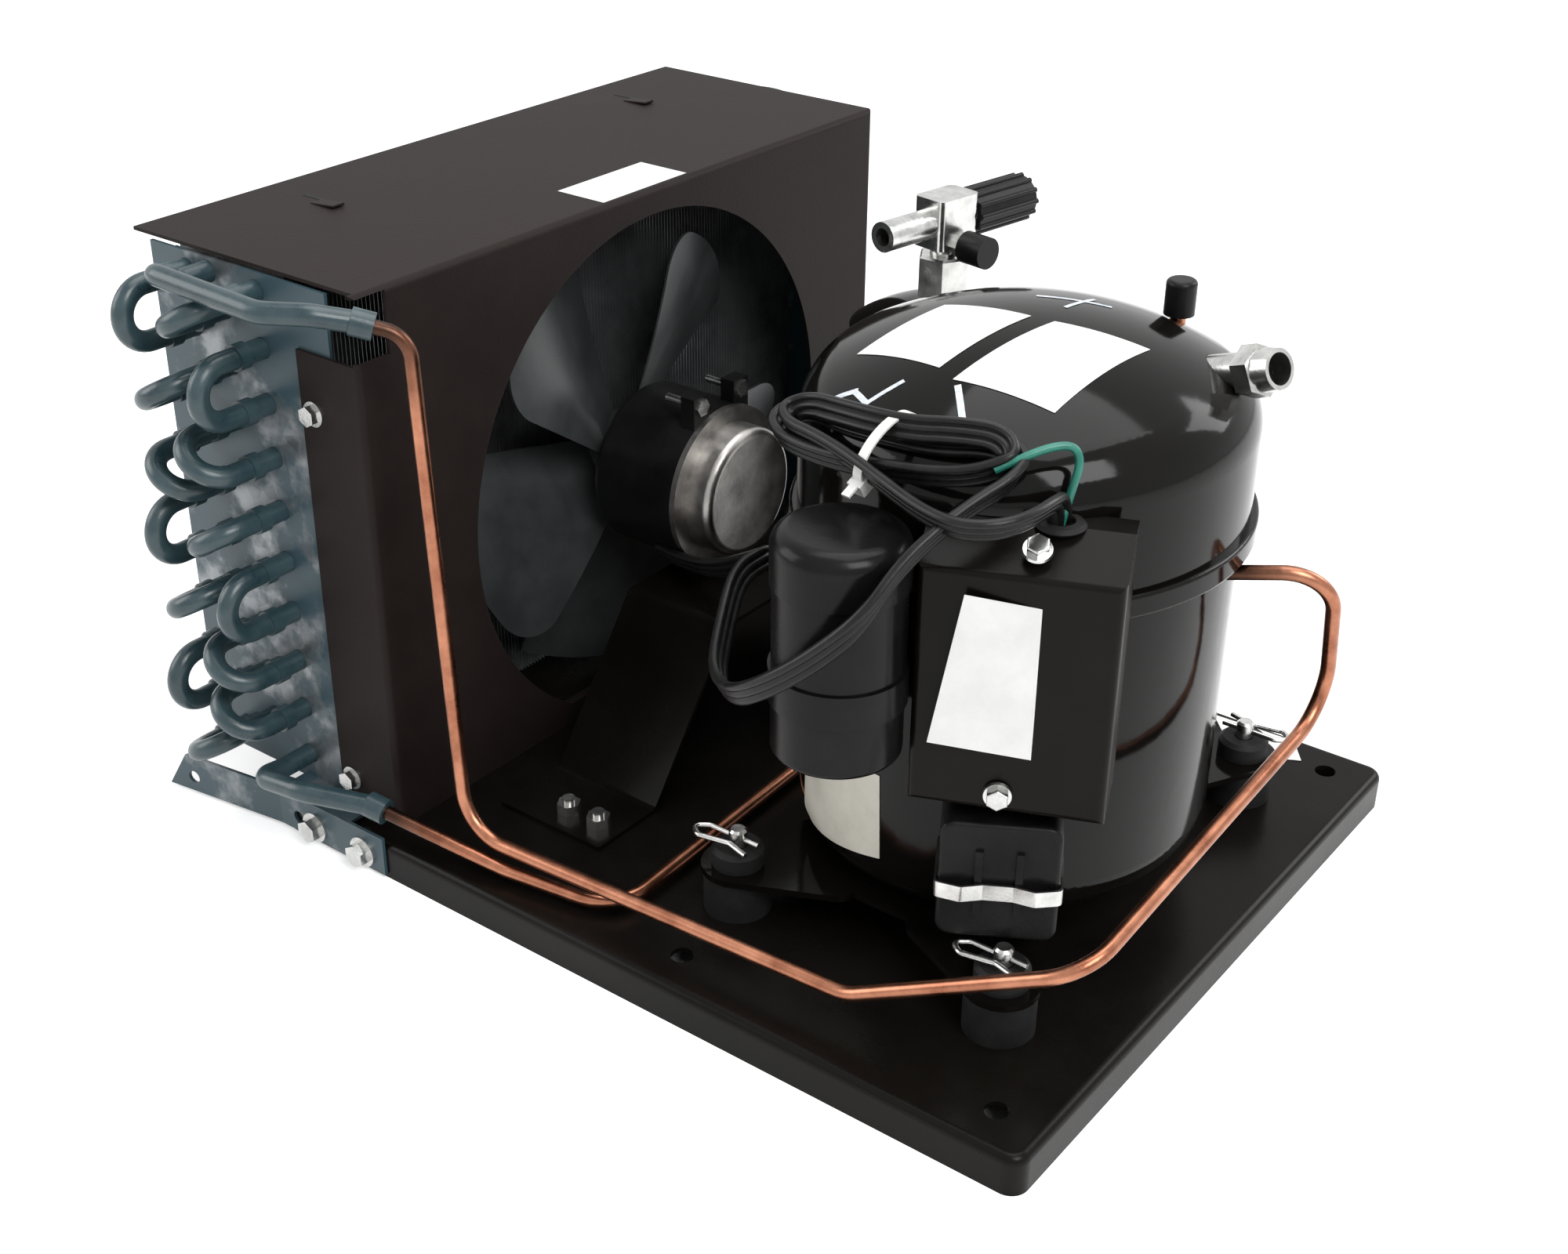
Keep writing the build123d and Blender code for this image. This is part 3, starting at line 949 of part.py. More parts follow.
with BuildPart() as pump_springs:
    with BuildSketch(upright(COMP_X, COMP_Y, SHELL_BOTTOM_Z + SHELL_WALL)):
        with GridLocations(PUMP_SPRING_SPAN, PUMP_SPRING_SPAN, 2, 2):
            Circle(PUMP_SPRING_R)
            Circle(PUMP_SPRING_R / 2, mode=Mode.SUBTRACT)
    extrude(amount=PUMP_LOW_Z - SHELL_BOTTOM_Z - SHELL_WALL)
pump_springs.part.label = "pump_springs"
export_step(pump_springs.part, "parts/pump_springs.step")

# ------------------------------------------------------------------ compressor fittings
with BuildPart() as suction_fitting:
    with BuildSketch(SUCTION_PLANE.offset(-SUCTION_TUBE_R)):
        Circle(SUCTION_TUBE_R)
    extrude(amount=SUCTION_TUBE_R + SUCTION_HEX_AT)
    with BuildSketch(SUCTION_PLANE.offset(SUCTION_HEX_AT)):
        RegularPolygon(SUCTION_HEX_FLATS / 2, 6, major_radius=False)
    extrude(amount=SUCTION_HEX_LENGTH)
    with BuildSketch(SUCTION_PLANE.offset(SUCTION_HEX_AT + SUCTION_HEX_LENGTH)):
        Circle(SUCTION_HEX_FLATS / 2 - 0.5)
    extrude(amount=SUCTION_LENGTH - SUCTION_HEX_AT - SUCTION_HEX_LENGTH, taper=6)
    with BuildSketch(SUCTION_PLANE.offset(-SUCTION_TUBE_R)):
        Circle(SUCTION_BORE_R)
    extrude(amount=SUCTION_LENGTH + SUCTION_TUBE_R, mode=Mode.SUBTRACT)
suction_fitting.part.label = "suction_fitting"
export_step(suction_fitting.part, "parts/suction_fitting.step")

with BuildPart() as process_tube:
    with BuildSketch(upright(PROCESS_X, PROCESS_Y, PROCESS_Z - PROCESS_TUBE_RISE)):
        Circle(PROCESS_TUBE_R)
        Circle(PROCESS_TUBE_R - PROCESS_TUBE_WALL, mode=Mode.SUBTRACT)
    extrude(amount=2 * PROCESS_TUBE_RISE)
process_tube.part.label = "process_tube"
export_step(process_tube.part, "parts/process_tube.step")

with BuildPart() as process_cap:
    with BuildSketch(upright(PROCESS_X, PROCESS_Y, PROCESS_Z + PROCESS_TUBE_R)):
        Circle(PROCESS_CAP_R)
    extrude(amount=PROCESS_CAP_HEIGHT)
    fillet(process_cap.edges().group_by(Axis.Z)[-1], PROCESS_CAP_TOP)
    with BuildSketch(upright(PROCESS_X, PROCESS_Y, PROCESS_Z + PROCESS_TUBE_R)):
        Circle(PROCESS_TUBE_R + SHAFT_CLEARANCE)
    extrude(amount=PROCESS_TUBE_RISE - PROCESS_TUBE_R + SEAT_GAP, mode=Mode.SUBTRACT)
process_cap.part.label = "process_cap"
export_step(process_cap.part, "parts/process_cap.step")

with BuildPart() as discharge_tube:
    add(round_tube(DISCHARGE_ROUTE, COPPER_R, COPPER_WALL, TUBE_BEND_R))
discharge_tube.part.label = "discharge_tube"
export_step(discharge_tube.part, "parts/discharge_tube.step")

# ------------------------------------------------------------------ electrical box
SHELL_GROW = SEAT_GAP
with BuildPart() as shell_clearance:
    add(crown_form(-SHELL_GROW))
    add(sump_form(-SHELL_GROW))
    add(seam_ring(SHELL_GROW))


def box_form(inset):
    """The cover's outer form drawn in by its sheet: a deep tray with a sloping top flap."""
    half = BOX_HEIGHT / 2 - inset
    with BuildPart() as form:
        with BuildSketch(BOX_SIDE_PLANE):
            with BuildLine():
                Polyline(
                    (-BOX_BACK - 2 * inset, -half),
                    (-inset, -half),
                    (-inset, half - BOX_FLAP_DROP),
                    (-BOX_FLAP_DEPTH, half),
                    (-BOX_BACK - 2 * inset, half),
                    close=True,
                )
            make_face()
        extrude(amount=BOX_WIDTH / 2 - inset, both=True)
        front = form.faces().sort_by(Axis(origin=(0, 0, 0), direction=BOX_DIRECTION))[-1]
        fillet(front.edges(), BOX_CORNER_R - inset)
    return form.part


BOX_PLANE = outward_plane(BOX_REACH, BOX_Z, BOX_ROLL)
# in the side plane X runs outward from the shell and Y runs up the cover
BOX_SIDE_PLANE = Plane(origin=BOX_PLANE.origin, x_dir=BOX_PLANE.z_dir, z_dir=-BOX_PLANE.x_dir)
with BuildPart() as electrical_box:
    add(box_form(0))
    add(box_form(BOX_SHEET), mode=Mode.SUBTRACT)
    add(shell_clearance.part, mode=Mode.SUBTRACT)
electrical_box.part.label = "electrical_box"
export_step(electrical_box.part, "parts/electrical_box.step")

# ------------------------------------------------------------------ terminal cover
COVER_PLANE = outward_plane(COVER_REACH, COVER_LOW_Z + COVER_HEIGHT / 2)
COVER_DEPTH = COVER_REACH - LOWER_RX + COVER_CORNER_R
with BuildPart() as terminal_cover:
    with BuildSketch(COVER_PLANE):
        RectangleRounded(COVER_WIDTH, COVER_HEIGHT, COVER_CORNER_R)
    extrude(amount=-COVER_DEPTH)
    cover_front = terminal_cover.faces().sort_by(Axis(origin=(0, 0, 0), direction=BOX_DIRECTION))[-1]
    fillet(cover_front.edges(), COVER_WALL)
    with BuildSketch(COVER_PLANE):
        with GridLocations(COVER_WIDTH / 3, 1, 2, 1):
            Rectangle(COVER_RIB * 2, COVER_HEIGHT - 4 * COVER_CORNER_R)
    extrude(amount=COVER_RIB)
    with BuildSketch(COVER_PLANE.offset(-COVER_WALL)):
        RectangleRounded(
            COVER_WIDTH - 2 * COVER_WALL, COVER_HEIGHT - 2 * COVER_WALL, COVER_CORNER_R - COVER_WALL
        )
    extrude(amount=-COVER_DEPTH, mode=Mode.SUBTRACT)
    add(shell_clearance.part, mode=Mode.SUBTRACT)
terminal_cover.part.label = "terminal_cover"
export_step(terminal_cover.part, "parts/terminal_cover.step")

# A spring steel strap across the cover, its ends bent back to the shell.
BAIL_PLANE = Plane(
    origin=Vector(COMP_X, COMP_Y, BAIL_Z - BAIL_WIDTH / 2), x_dir=BOX_DIRECTION, z_dir=(0, 0, 1)
)
with BuildPart() as terminal_bail:
    bail_out = COVER_REACH + COVER_RIB + SEAT_GAP
    bail_half = COVER_WIDTH / 2 + SEAT_GAP
    with BuildSketch(BAIL_PLANE):
        with BuildLine():
            bail_route = FilletPolyline(
                (COVER_REACH - COVER_DEPTH, -bail_half),
                (bail_out, -bail_half),
                (bail_out + BAIL_WAVE, -bail_half * 0.6),
                (bail_out, -bail_half * 0.25),
                (bail_out, bail_half * 0.25),
                (bail_out + BAIL_WAVE, bail_half * 0.6),
                (bail_out, bail_half),
                (COVER_REACH - COVER_DEPTH, bail_half),
                radius=2 * BAIL_SHEET,
            )
            offset(amount=BAIL_SHEET, side=Side.RIGHT)
        make_face()
    extrude(amount=BAIL_WIDTH)
    add(shell_clearance.part, mode=Mode.SUBTRACT)
terminal_bail.part.label = "terminal_bail"
export_step(terminal_bail.part, "parts/terminal_bail.step")

# ------------------------------------------------------------------ start capacitor
with BuildPart() as start_capacitor:
    with BuildSketch(upright(CAP_X, CAP_Y, CAP_LOW_Z)):
        Circle(CAP_R)
    extrude(amount=CAP_HEIGHT)
    fillet(start_capacitor.edges().group_by(Axis.Z)[0], CAP_R / 10)
start_capacitor.part.label = "start_capacitor"
export_step(start_capacitor.part, "parts/start_capacitor.step")

with BuildPart() as capacitor_cap:
    lid_low_z = CAP_LOW_Z + CAP_HEIGHT - CAP_LID_HEIGHT * 0.7
    with BuildSketch(upright(CAP_X, CAP_Y, lid_low_z)):
        Circle(CAP_LID_R)
    extrude(amount=CAP_LID_HEIGHT)
    fillet(capacitor_cap.edges().group_by(Axis.Z)[-1], CAP_LID_HEIGHT / 3)
    with BuildSketch(upright(CAP_X, CAP_Y, lid_low_z)):
        Circle(CAP_R + TUBE_CLEARANCE)
    extrude(amount=CAP_LID_HEIGHT * 0.7, mode=Mode.SUBTRACT)
capacitor_cap.part.label = "capacitor_cap"
export_step(capacitor_cap.part, "parts/capacitor_cap.step")

# A strap round the capacitor with a tab welded to the shell.
with BuildPart() as capacitor_band:
    with BuildSketch(upright(CAP_X, CAP_Y, CAP_BAND_Z)):
        Circle(CAP_R + SHAFT_CLEARANCE + CAP_BAND_SHEET)
        with Locations((CAP_ARM_SHIFT, CAP_R)):
            Rectangle(CAP_ARM_WIDTH, 2 * CAP_R)
        Circle(CAP_R + SHAFT_CLEARANCE, mode=Mode.SUBTRACT)
    extrude(amount=CAP_BAND_HEIGHT)
    with BuildSketch(upright(CAP_X + CAP_ARM_SHIFT, CAP_Y + CAP_R, CAP_BAND_Z)):
        Rectangle(CAP_ARM_WIDTH - 2 * CAP_BAND_SHEET, 4 * CAP_R)
        with Locations((-CAP_ARM_SHIFT, -CAP_R)):
            Circle(CAP_R + CAP_BAND_SHEET, mode=Mode.SUBTRACT)
    extrude(amount=CAP_BAND_HEIGHT, mode=Mode.SUBTRACT)
    add(shell_clearance.part, mode=Mode.SUBTRACT)
capacitor_band.part.label = "capacitor_band"
export_step(capacitor_band.part, "parts/capacitor_band.step")

# ------------------------------------------------------------------ receiver
LIQUID_ROUTE = (
    (PAN_X - 136.0, PAN_Y - 172.0, 39.0),
    (PAN_X - 69.9, PAN_Y - 156.8, 24.0),
    (PAN_X - 11.9, PAN_Y - 148.8, 23.7),
    (PAN_X - 21.0, PAN_Y + 46.0, 24.0),
    (PAN_X - 23.0, PAN_Y + 69.0, 36.0),
    (PAN_X - 23.0, PAN_Y + 88.0, 36.0),
)
with BuildPart() as receiver_tank:
    with BuildSketch(Plane.XZ.offset(-TANK_Y)):
        for inset in (0, TANK_WALL):
            with BuildLine():
                outer = TANK_R - inset
                dome = TANK_DOME_R - inset
                dome_mid_z = TANK_TOP_Z - TANK_DOME_R
                shoulder_z = dome_mid_z + sqrt(dome**2 - outer**2)
                foot_r = TANK_FOOT_R - inset
                low_z = PAN_HEIGHT + inset
                Line((TANK_X, low_z), (TANK_X + outer - foot_r, low_z))
                RadiusArc(
                    (TANK_X + outer - foot_r, low_z), (TANK_X + outer, low_z + foot_r), -foot_r
                )
                Line((TANK_X + outer, low_z + foot_r), (TANK_X + outer, shoulder_z))
                RadiusArc((TANK_X + outer, shoulder_z), (TANK_X, TANK_TOP_Z - inset), -dome)
                Line((TANK_X, TANK_TOP_Z - inset), (TANK_X, low_z))
            make_face(mode=Mode.ADD if inset == 0 else Mode.SUBTRACT)
    revolve(axis=Axis((TANK_X, TANK_Y, 0), (0, 0, 1)))
    with BuildSketch(facing_near(TANK_Y)):
        with Locations((LIQUID_ROUTE[-1][0], LIQUID_ROUTE[-1][2])):
            Circle(COPPER_R + TUBE_CLEARANCE)
    extrude(amount=TANK_R, mode=Mode.SUBTRACT)
    with BuildSketch(upright(TANK_X, TANK_Y, TANK_TOP_Z - 3 * TANK_WALL)):
        Circle(VALVE_SPUD_R + TUBE_CLEARANCE)
    extrude(amount=6 * TANK_WALL, mode=Mode.SUBTRACT)
receiver_tank.part.label = "receiver_tank"
export_step(receiver_tank.part, "parts/receiver_tank.step")

with BuildPart() as liquid_tube:
    add(round_tube(LIQUID_ROUTE, COPPER_R, COPPER_WALL, TUBE_BEND_R))
liquid_tube.part.label = "liquid_tube"
export_step(liquid_tube.part, "parts/liquid_tube.step")

# The steel tubes of the coil's two ends, each swaged over the copper it is brazed to.
OUTLET_X, OUTLET_Z = TUBE_PLACES["inner", 0]
FEED_X = TUBE_PLACES["feed"][0]
OUTLET_ROUTE = (
    (OUTLET_X, TUBE_NEAR_Y, OUTLET_Z),
    (OUTLET_X, TUBE_NEAR_Y - 7.0, OUTLET_Z),
    (OUTLET_X + 3.0, PLATE_NEAR_Y - 32.0, OUTLET_Z + 4.0),
    (OUTLET_X + 33.0, PLATE_NEAR_Y - 33.0, OUTLET_Z + 9.0),
    LIQUID_ROUTE[0],
)
INLET_ROUTE = (
    (FEED_X, TUBE_NEAR_Y, FEED_Z),
    (FEED_X, TUBE_NEAR_Y - 7.0, FEED_Z),
    (FEED_X + 4.0, PLATE_NEAR_Y - 32.0, FEED_Z + 9.0),
    (PAN_X - 157.0, PAN_Y - 187.0, 272.0),
    (PAN_X - 139.0, PAN_Y - 176.0, 272.0),
    DISCHARGE_ROUTE[-1],
)
SOCKET_LENGTH = 2 * TUBE_R


def swaged_tube(points, copper_end):
    """A coil tube with a socket over the end of a copper tube, which arrives along a run."""
    toward = (Vector(*copper_end[0]) - Vector(*copper_end[1])).normalized()
    with BuildPart() as tube:
        add(round_tube(points, TUBE_R, TUBE_WALL, TUBE_BEND_R * 0.7))
        with BuildSketch(Plane(origin=copper_end[1], z_dir=toward).offset(-TUBE_R / 2)):
            Circle(COLLAR_R)
        extrude(amount=SOCKET_LENGTH)
        with BuildSketch(Plane(origin=copper_end[1], z_dir=toward)):
            Circle(COPPER_R + SHAFT_CLEARANCE)
        extrude(amount=SOCKET_LENGTH, mode=Mode.SUBTRACT)
    return tube.part


with BuildPart() as coil_outlet_tube:
    add(swaged_tube(OUTLET_ROUTE, (LIQUID_ROUTE[1], LIQUID_ROUTE[0])))
coil_outlet_tube.part.label = "coil_outlet_tube"
export_step(coil_outlet_tube.part, "parts/coil_outlet_tube.step")

with BuildPart() as coil_inlet_tube:
    add(swaged_tube(INLET_ROUTE, (DISCHARGE_ROUTE[-2], DISCHARGE_ROUTE[-1])))
coil_inlet_tube.part.label = "coil_inlet_tube"
export_step(coil_inlet_tube.part, "parts/coil_inlet_tube.step")

# ------------------------------------------------------------------ service valve
VALVE_PLANE = Plane(origin=(TANK_X, TANK_Y, VALVE_BLOCK_Z)).rotated((0, 0, VALVE_TURN))
FLARE_PLANE = Plane(origin=VALVE_PLANE.origin, z_dir=-VALVE_PLANE.y_dir, x_dir=VALVE_PLANE.x_dir)
STEM_PLANE = Plane(origin=VALVE_PLANE.origin, z_dir=VALVE_PLANE.y_dir, x_dir=VALVE_PLANE.x_dir)
GAUGE_PLANE = Plane(
    origin=VALVE_PLANE.origin + Vector(0, 0, GAUGE_Z - VALVE_BLOCK_Z),
    z_dir=VALVE_PLANE.x_dir,
    x_dir=VALVE_PLANE.y_dir,
)
BLOCK_HALF_Y, BLOCK_HALF_X = VALVE_BLOCK_Y / 2, VALVE_BLOCK_X / 2
STEM_MOUTH = BLOCK_HALF_Y + STEM_NECK_LENGTH
with BuildPart() as valve_body:
    with BuildSketch(VALVE_PLANE.offset(-VALVE_BLOCK_HEIGHT / 2)):
        Rectangle(VALVE_BLOCK_X, VALVE_BLOCK_Y)
    extrude(amount=VALVE_BLOCK_HEIGHT)
    fillet(valve_body.edges().filter_by(Axis.Z), VALVE_BLOCK_X / 6)
    with BuildSketch(upright(TANK_X, TANK_Y, TANK_TOP_Z - 4 * TANK_WALL)):
        Circle(VALVE_SPUD_R)
    extrude(amount=VALVE_BLOCK_Z - TANK_TOP_Z)
    with BuildSketch(FLARE_PLANE.offset(BLOCK_HALF_Y)):
        Circle(FLARE_R)
    extrude(amount=FLARE_LENGTH)
    with BuildSketch(STEM_PLANE.offset(BLOCK_HALF_Y)):
        Circle(STEM_NECK_R)
    extrude(amount=STEM_NECK_LENGTH)
    with BuildSketch(GAUGE_PLANE.offset(BLOCK_HALF_X)):
        Circle(GAUGE_NECK_R)
    extrude(amount=GAUGE_NECK_LENGTH)
    with BuildSketch(FLARE_PLANE):
        Circle(FLARE_BORE_R)
    extrude(amount=BLOCK_HALF_Y + FLARE_LENGTH, mode=Mode.SUBTRACT)
    with BuildSketch(STEM_PLANE):
        Circle(STEM_R + SHAFT_CLEARANCE)
    extrude(amount=STEM_MOUTH, mode=Mode.SUBTRACT)
    with BuildSketch(GAUGE_PLANE):
        Circle(GAUGE_BORE_R)
    extrude(amount=BLOCK_HALF_X + GAUGE_NECK_LENGTH, mode=Mode.SUBTRACT)
    with BuildSketch(upright(TANK_X, TANK_Y, TANK_TOP_Z - 4 * TANK_WALL)):
        Circle(VALVE_SPUD_R - TANK_WALL)
    extrude(amount=VALVE_BLOCK_Z - TANK_TOP_Z + 4 * TANK_WALL, mode=Mode.SUBTRACT)
valve_body.part.label = "valve_body"
export_step(valve_body.part, "parts/valve_body.step")

with BuildPart() as valve_nut:
    with BuildSketch(upright(TANK_X, TANK_Y, VALVE_NUT_Z)):
        RegularPolygon(VALVE_NUT_FLATS / 2, 6, major_radius=False)
        Circle(VALVE_SPUD_R + TUBE_CLEARANCE, mode=Mode.SUBTRACT)
    extrude(amount=VALVE_NUT_HEIGHT)
    chamfer(valve_nut.faces().sort_by(Axis.Z)[-1].outer_wire().edges(), 1)
valve_nut.part.label = "valve_nut"
export_step(valve_nut.part, "parts/valve_nut.step")

with BuildPart() as valve_stem:
    with BuildSketch(STEM_PLANE.offset(STEM_MOUTH + STEM_LENGTH / 2)):
        Circle(STEM_R)
    extrude(amount=-STEM_LENGTH)
    with BuildSketch(STEM_PLANE.offset(STEM_MOUTH + STEM_LENGTH / 2)):
        Rectangle(STEM_SQUARE, STEM_SQUARE)
    extrude(amount=STEM_SQUARE_LENGTH)
valve_stem.part.label = "valve_stem"
export_step(valve_stem.part, "parts/valve_stem.step")

with BuildPart() as stem_cap:
    with BuildSketch(STEM_PLANE.offset(BLOCK_HALF_Y + SEAT_GAP)):
        Circle(STEM_CAP_R)
        with PolarLocations(STEM_CAP_R, STEM_CAP_RIBS):
            Circle(STEM_CAP_R / 8)
    extrude(amount=STEM_CAP_LENGTH)
    with BuildSketch(STEM_PLANE.offset(BLOCK_HALF_Y)):
        Circle(STEM_NECK_R + SHAFT_CLEARANCE)
    extrude(amount=STEM_CAP_LENGTH - STEM_CAP_WALL, mode=Mode.SUBTRACT)
stem_cap.part.label = "stem_cap"
export_step(stem_cap.part, "parts/stem_cap.step")

with BuildPart() as gauge_cap:
    gauge_start = BLOCK_HALF_X + GAUGE_COLLAR_LENGTH + SEAT_GAP
    with BuildSketch(GAUGE_PLANE.offset(gauge_start)):
        Circle(GAUGE_CAP_R)
    extrude(amount=GAUGE_CAP_LENGTH)
    with BuildSketch(GAUGE_PLANE.offset(gauge_start)):
        Circle(GAUGE_NECK_R + SHAFT_CLEARANCE)
    extrude(amount=GAUGE_CAP_LENGTH - GAUGE_CAP_WALL, mode=Mode.SUBTRACT)
gauge_cap.part.label = "gauge_cap"
export_step(gauge_cap.part, "parts/gauge_cap.step")

with BuildPart() as gauge_collar:
    with BuildSketch(GAUGE_PLANE.offset(BLOCK_HALF_X)):
        RegularPolygon(GAUGE_COLLAR_R, 6, major_radius=False)
        Circle(GAUGE_NECK_R + SHAFT_CLEARANCE, mode=Mode.SUBTRACT)
    extrude(amount=GAUGE_COLLAR_LENGTH)
gauge_collar.part.label = "gauge_collar"
export_step(gauge_collar.part, "parts/gauge_collar.step")
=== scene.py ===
from math import cos, pi, radians, sin

import bmesh
import bpy
from mathutils import Matrix, Vector
from mathutils.bvhtree import BVHTree


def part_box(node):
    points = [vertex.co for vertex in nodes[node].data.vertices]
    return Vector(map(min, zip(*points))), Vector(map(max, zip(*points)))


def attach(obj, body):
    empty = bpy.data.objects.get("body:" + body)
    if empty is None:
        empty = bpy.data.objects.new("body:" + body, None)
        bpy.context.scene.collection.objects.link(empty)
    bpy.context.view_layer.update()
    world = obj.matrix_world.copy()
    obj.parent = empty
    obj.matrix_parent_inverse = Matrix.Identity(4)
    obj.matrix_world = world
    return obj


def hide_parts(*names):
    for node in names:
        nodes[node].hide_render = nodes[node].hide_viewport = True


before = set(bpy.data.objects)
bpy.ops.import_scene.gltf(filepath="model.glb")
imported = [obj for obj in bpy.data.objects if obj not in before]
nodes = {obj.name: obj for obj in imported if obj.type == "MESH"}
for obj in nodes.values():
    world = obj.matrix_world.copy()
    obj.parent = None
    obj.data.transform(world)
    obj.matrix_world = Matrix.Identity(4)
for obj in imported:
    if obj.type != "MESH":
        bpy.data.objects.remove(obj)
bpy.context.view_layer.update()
scene = bpy.context.scene
scene.view_settings.view_transform = "Standard"

# Camera: a long lens from above the wiring side, looking down at the fan and the compressor.
camera_data = bpy.data.cameras.new("camera")
camera_data.sensor_width, camera_data.lens = 36.0, 47.5
camera_data.clip_start, camera_data.clip_end = 0.05, 20.0
camera = bpy.data.objects.new("camera", camera_data)
scene.collection.objects.link(camera)
camera_azimuth, camera_elevation, camera_roll = radians(36.62), radians(29.06), radians(0.69)
camera_back = Vector((sin(camera_azimuth) * cos(camera_elevation),
                      -cos(camera_azimuth) * cos(camera_elevation), sin(camera_elevation)))
camera.rotation_mode = "QUATERNION"
camera_aim = (-camera_back).to_track_quat("-Z", "Y").to_matrix()
camera_turn = camera_aim @ Matrix.Rotation(camera_roll, 3, "Z")
camera.rotation_quaternion = camera_turn.to_quaternion()
camera.location = (0.5029, -0.6998, 0.5621)
scene.camera = camera

# Studio: a pale seamless floor under large soft lamps. The room is white to the eye and in
# reflections, and dim as a light, so that black paint keeps its depth.
floor_mesh = bpy.data.meshes.new("studio_floor")
bm = bmesh.new()
bmesh.ops.create_grid(bm, x_segments=1, y_segments=1, size=4.0)
bm.to_mesh(floor_mesh)
bm.free()
floor = bpy.data.objects.new("studio_floor", floor_mesh)
scene.collection.objects.link(floor)
paper = bpy.data.materials.new("studio_paper")
paper.use_nodes = True
paper_nodes, paper_links = paper.node_tree.nodes, paper.node_tree.links
paper_shader = paper_nodes["Principled BSDF"]
paper_shader.inputs["Base Color"].default_value = (0.93, 0.93, 0.93, 1)
paper_shader.inputs["Roughness"].default_value = 0.9
paper_shader.inputs["Specular IOR Level"].default_value = 0.1
glow = paper_nodes.new("ShaderNodeEmission")
glow.inputs["Color"].default_value = (1, 1, 1, 1)
looks = paper_nodes.new("ShaderNodeLightPath")
look_any = paper_nodes.new("ShaderNodeMath")
look_any.operation = "MAXIMUM"
look_all = paper_nodes.new("ShaderNodeMath")
look_all.operation = "MAXIMUM"
glow_level = paper_nodes.new("ShaderNodeMath")
glow_level.operation = "MULTIPLY"
glow_level.inputs[1].default_value = 0.42
# Painted shade: the paper's glow is switched off under the pan's footprint, so the floor under the
# hollow pan is darker, and the bolt holes show it dark.
pan_low, pan_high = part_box("base_pan")
floor_place = paper_nodes.new("ShaderNodeTexCoord")
from_pan = paper_nodes.new("ShaderNodeVectorMath")
from_pan.operation = "SUBTRACT"
from_pan.inputs[1].default_value = (pan_low + pan_high) / 2
pan_share = paper_nodes.new("ShaderNodeVectorMath")
pan_share.operation = "DIVIDE"
pan_share.inputs[1].default_value = ((pan_high.x - pan_low.x) / 2,
                                     (pan_high.y - pan_low.y) / 2, 1.0)
pan_span = paper_nodes.new("ShaderNodeVectorMath")
pan_span.operation = "ABSOLUTE"
pan_axes = paper_nodes.new("ShaderNodeSeparateXYZ")
farthest = paper_nodes.new("ShaderNodeMath")
farthest.operation = "MAXIMUM"
# Painted shade mask: zero under the pan, one on the open floor around it.
outside_painted_shade = paper_nodes.new("ShaderNodeMapRange")
outside_painted_shade.inputs["From Min"].default_value = 0.95
outside_painted_shade.inputs["From Max"].default_value = 1.0
glow_outside_painted_shade = paper_nodes.new("ShaderNodeMath")
glow_outside_painted_shade.operation = "MULTIPLY"
paper_links.new(floor_place.outputs["Object"], from_pan.inputs[0])
paper_links.new(from_pan.outputs[0], pan_share.inputs[0])
paper_links.new(pan_share.outputs[0], pan_span.inputs[0])
paper_links.new(pan_span.outputs[0], pan_axes.inputs[0])
paper_links.new(pan_axes.outputs["X"], farthest.inputs[0])
paper_links.new(pan_axes.outputs["Y"], farthest.inputs[1])
paper_links.new(farthest.outputs[0], outside_painted_shade.inputs["Value"])
lit_paper = paper_nodes.new("ShaderNodeAddShader")
paper_links.new(looks.outputs["Is Camera Ray"], look_any.inputs[0])
paper_links.new(looks.outputs["Is Glossy Ray"], look_any.inputs[1])
paper_links.new(look_any.outputs[0], look_all.inputs[0])
paper_links.new(looks.outputs["Is Transmission Ray"], look_all.inputs[1])
paper_links.new(look_all.outputs[0], glow_level.inputs[0])
paper_links.new(glow_level.outputs[0], glow_outside_painted_shade.inputs[0])
paper_links.new(outside_painted_shade.outputs["Result"], glow_outside_painted_shade.inputs[1])
paper_links.new(glow_outside_painted_shade.outputs[0], glow.inputs["Strength"])
paper_links.new(paper_shader.outputs[0], lit_paper.inputs[0])
paper_links.new(glow.outputs[0], lit_paper.inputs[1])
paper_links.new(lit_paper.outputs[0], paper_nodes["Material Output"].inputs["Surface"])
floor_mesh.materials.append(paper)

world = bpy.data.worlds.new("studio_room")
scene.world = world
world.use_nodes = True
world_nodes, world_links = world.node_tree.nodes, world.node_tree.links
world_nodes.clear()
seen = world_nodes.new("ShaderNodeLightPath")
either = world_nodes.new("ShaderNodeMath")
either.operation = "MAXIMUM"
any_seen = world_nodes.new("ShaderNodeMath")
any_seen.operation = "MAXIMUM"
white = world_nodes.new("ShaderNodeBackground")
white.inputs["Color"].default_value = (1, 1, 1, 1)
white.inputs["Strength"].default_value = 1.0
dim = world_nodes.new("ShaderNodeBackground")
dim.inputs["Color"].default_value = (1, 1, 1, 1)
dim.inputs["Strength"].default_value = 0.30
room = world_nodes.new("ShaderNodeMixShader")
room_out = world_nodes.new("ShaderNodeOutputWorld")
world_links.new(seen.outputs["Is Camera Ray"], either.inputs[0])
world_links.new(seen.outputs["Is Glossy Ray"], either.inputs[1])
world_links.new(either.outputs[0], any_seen.inputs[0])
world_links.new(seen.outputs["Is Transmission Ray"], any_seen.inputs[1])
world_links.new(any_seen.outputs[0], room.inputs[0])
world_links.new(dim.outputs[0], room.inputs[1])
world_links.new(white.outputs[0], room.inputs[2])
world_links.new(room.outputs[0], room_out.inputs[0])

